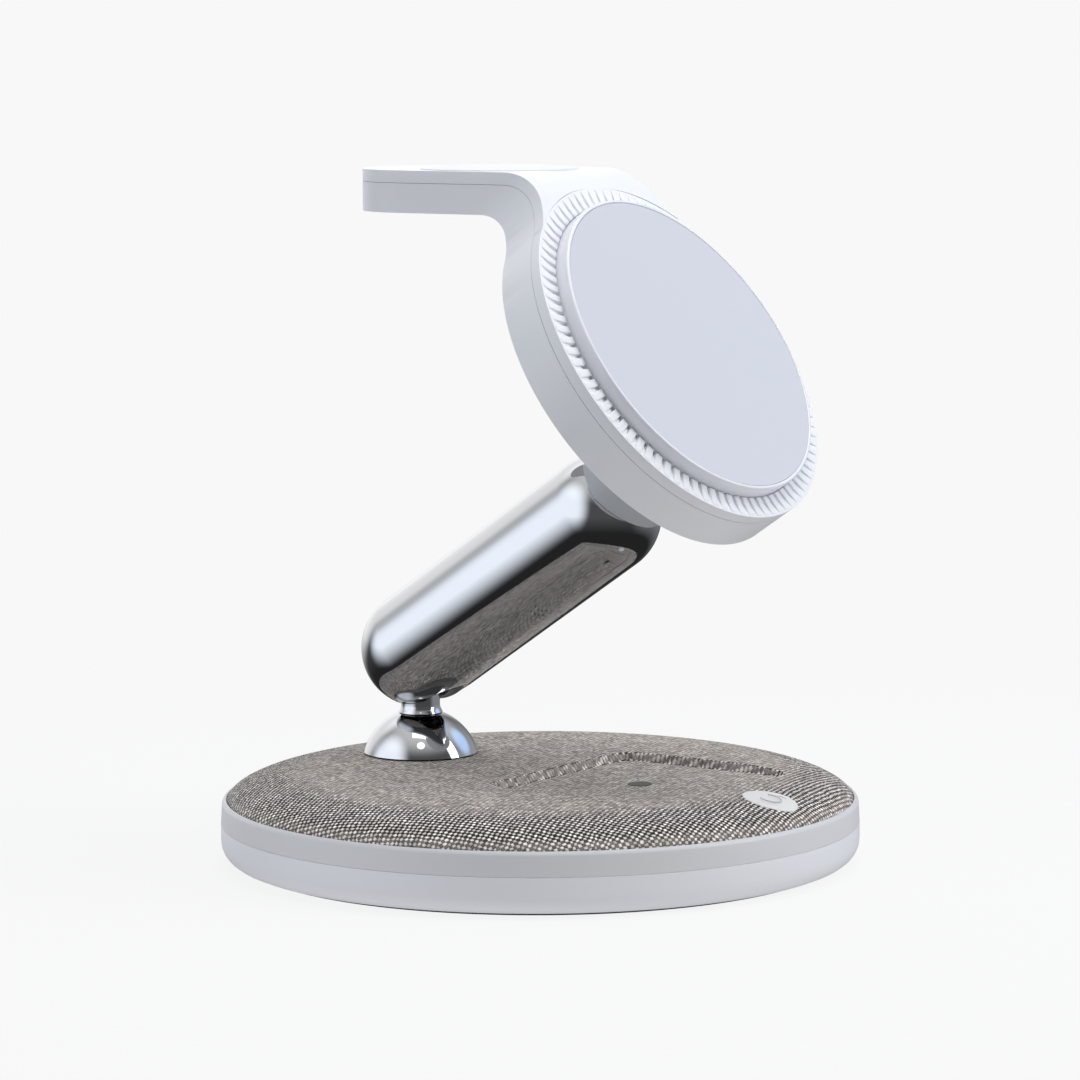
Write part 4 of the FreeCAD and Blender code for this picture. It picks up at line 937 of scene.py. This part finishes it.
# Inner parts
# What shows through the slots, the port and the underside, and all that a cut would show, keeps its CAD
# shape: pressed and turned steel, wound coils on ferrite, magnets, boards, a dark silicone foot that is
# bonded on, and a grey moulded chassis. Screws and pressed fits hold them.

coil_pitch = 0.8 * MM
earbud_coil_z = 10.8 * MM


def fine_noise(tree, scale, detail=2.0, stretched=None):
    """Noise on a CAD piece, drawn out along the axes with small factors."""
    where = add_node(tree, "ShaderNodeTexCoord").outputs["Object"]
    if stretched:
        where = add_node(
            tree, "ShaderNodeVectorMath", {"operation": "MULTIPLY"}, i0=where, i1=stretched).outputs[0]
    return add_node(tree, "ShaderNodeTexNoise", Vector=where, Scale=scale, Detail=detail).outputs["Fac"]


# Turned and pressed steel, bright zinc over fine tool marks: a dull streaky shine beside the chrome's mirror.
zinc, tree, bsdf = surface("zinc_plated_steel", "#B9BBBE", Metallic=1.0, Roughness=0.3)
streak = fine_noise(tree, 500.0, 3.0, (1.0, 8.0, 8.0))
tree.links.new(ramp(tree, streak, 0.0, 1.0, 0.22, 0.42, kind="LINEAR"), bsdf.inputs["Roughness"])
bumped(tree, bsdf, 0.1, 0.1 * MM, streak)

# Stainless sheet of the port, folded and tumbled: brighter and smoother than the zinc, so it reads as metal.
stainless, tree, bsdf = surface("tumbled_stainless_sheet", "#C8C9CB", Metallic=1.0, Roughness=0.25)
cloudy = fine_noise(tree, 900.0)
tree.links.new(ramp(tree, cloudy, 0.0, 1.0, 0.18, 0.32, kind="LINEAR"), bsdf.inputs["Roughness"])

# Bright nickel on sintered magnets: warmer than the zinc, with the faint pitting of the block under it.
nickel, tree, bsdf = surface("nickel_plated_magnet", "#C9C5BC", Metallic=1.0, Roughness=0.2)
bumped(tree, bsdf, 0.15, 0.1 * MM, fine_noise(tree, 2500.0))

# Fired ferrite sheet: near-black and chalky, with a fine sparkle of grains, drawn coarser than they are.
ferrite = sparked("fired_black_ferrite", "#2B2B2D", 0.7, 0.3 * MM, 0.3)

# Dark silicone foot: matt and slightly dusty. Its moulded texture, drawn coarser, keeps it from looking wet.
foot_silicone = sparked("dark_anti_slip_silicone", "#3A3B3D", 0.75, 0.4 * MM, 0.25)

# Plain grey moulding that is never looked at: flatter and rougher than the outer shells.
chassis_abs = sparked("inner_grey_abs", "#A9AAAD", 0.55, 0.3 * MM, 0.08)

# Green solder mask over copper tracks: glossy, with lighter lines where the copper lies under the mask.
board_mask, tree, bsdf = surface("green_solder_mask", "#1F5A34", Roughness=0.3, IOR=1.5)
where = add_node(tree, "ShaderNodeTexCoord").outputs["Object"]
cells = add_node(
    tree, "ShaderNodeTexVoronoi", {"distance": "MANHATTAN", "feature": "F1"}, Vector=where, Scale=450.0)
track = ramp(tree, cells.outputs["Distance"], 0.62, 0.7, kind="LINEAR")
tree.links.new(between(track, linear("#1F5A34"), linear("#3C8552")), bsdf.inputs["Base Color"])
bumped(tree, bsdf, 0.2, 0.1 * MM, track)

finishes = [
    (zinc, [
        "counterweight", "swivel_washer", "swivel_spring_washer", "swivel_nut", "lower_fork", "upper_fork",
        "lower_hinge_pin", "upper_hinge_pin", "lower_friction_washers", "upper_friction_washers",
        "head_tongue", "tongue_screws", "chassis_screws", "base_screws"]),
    (stainless, ["usb_port"]),
    (nickel, ["magnet_ring", "watch_magnet"]),
    (ferrite, ["earbud_ferrite", "phone_ferrite"]),
    (foot_silicone, ["anti_slip_ring"]),
    (chassis_abs, ["head_chassis", "board_standoffs"]),
    (board_mask, ["main_board", "touch_sensor", "head_board"])]

# Coils wound flat of enamelled copper strand: brown-red rings round the coil's middle, with painted shade
# dark in the gaps between turns and lighter towards each turn's crown.
coil_centres = {
    "earbud_coil": (0, recess_y, earbud_coil_z),
    "phone_coil": tuple(ring_centre),
    "watch_coil": (0, watch_y, shelf_top)}
for coil, centre in coil_centres.items():
    litz, tree, bsdf = surface(f"litz_wire_{coil}", "#B4622F", Metallic=1.0, Roughness=0.35)
    where = add_node(tree, "ShaderNodeTexCoord").outputs["Object"]
    out = add_node(tree, "ShaderNodeVectorMath", {"operation": "DISTANCE"}, i0=where, i1=centre)
    to_wire = maths("PINGPONG", out.outputs["Value"], coil_pitch / 2)
    # Painted shade: the colour darkens towards the gap between turns and lightens to each turn's crown.
    wire_crest_and_gap_shade = ramp(tree, to_wire, 0.0, coil_pitch / 2)
    tree.links.new(between(wire_crest_and_gap_shade, linear("#4A2412"), linear("#C87A42")), bsdf.inputs["Base Color"])
    bumped(tree, bsdf, 0.6, 0.2 * MM, wire_crest_and_gap_shade)
    finishes.append((litz, [coil]))

for finish, names in finishes:
    for name in names:
        for kept_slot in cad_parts[name].material_slots:
            kept_slot.material = finish
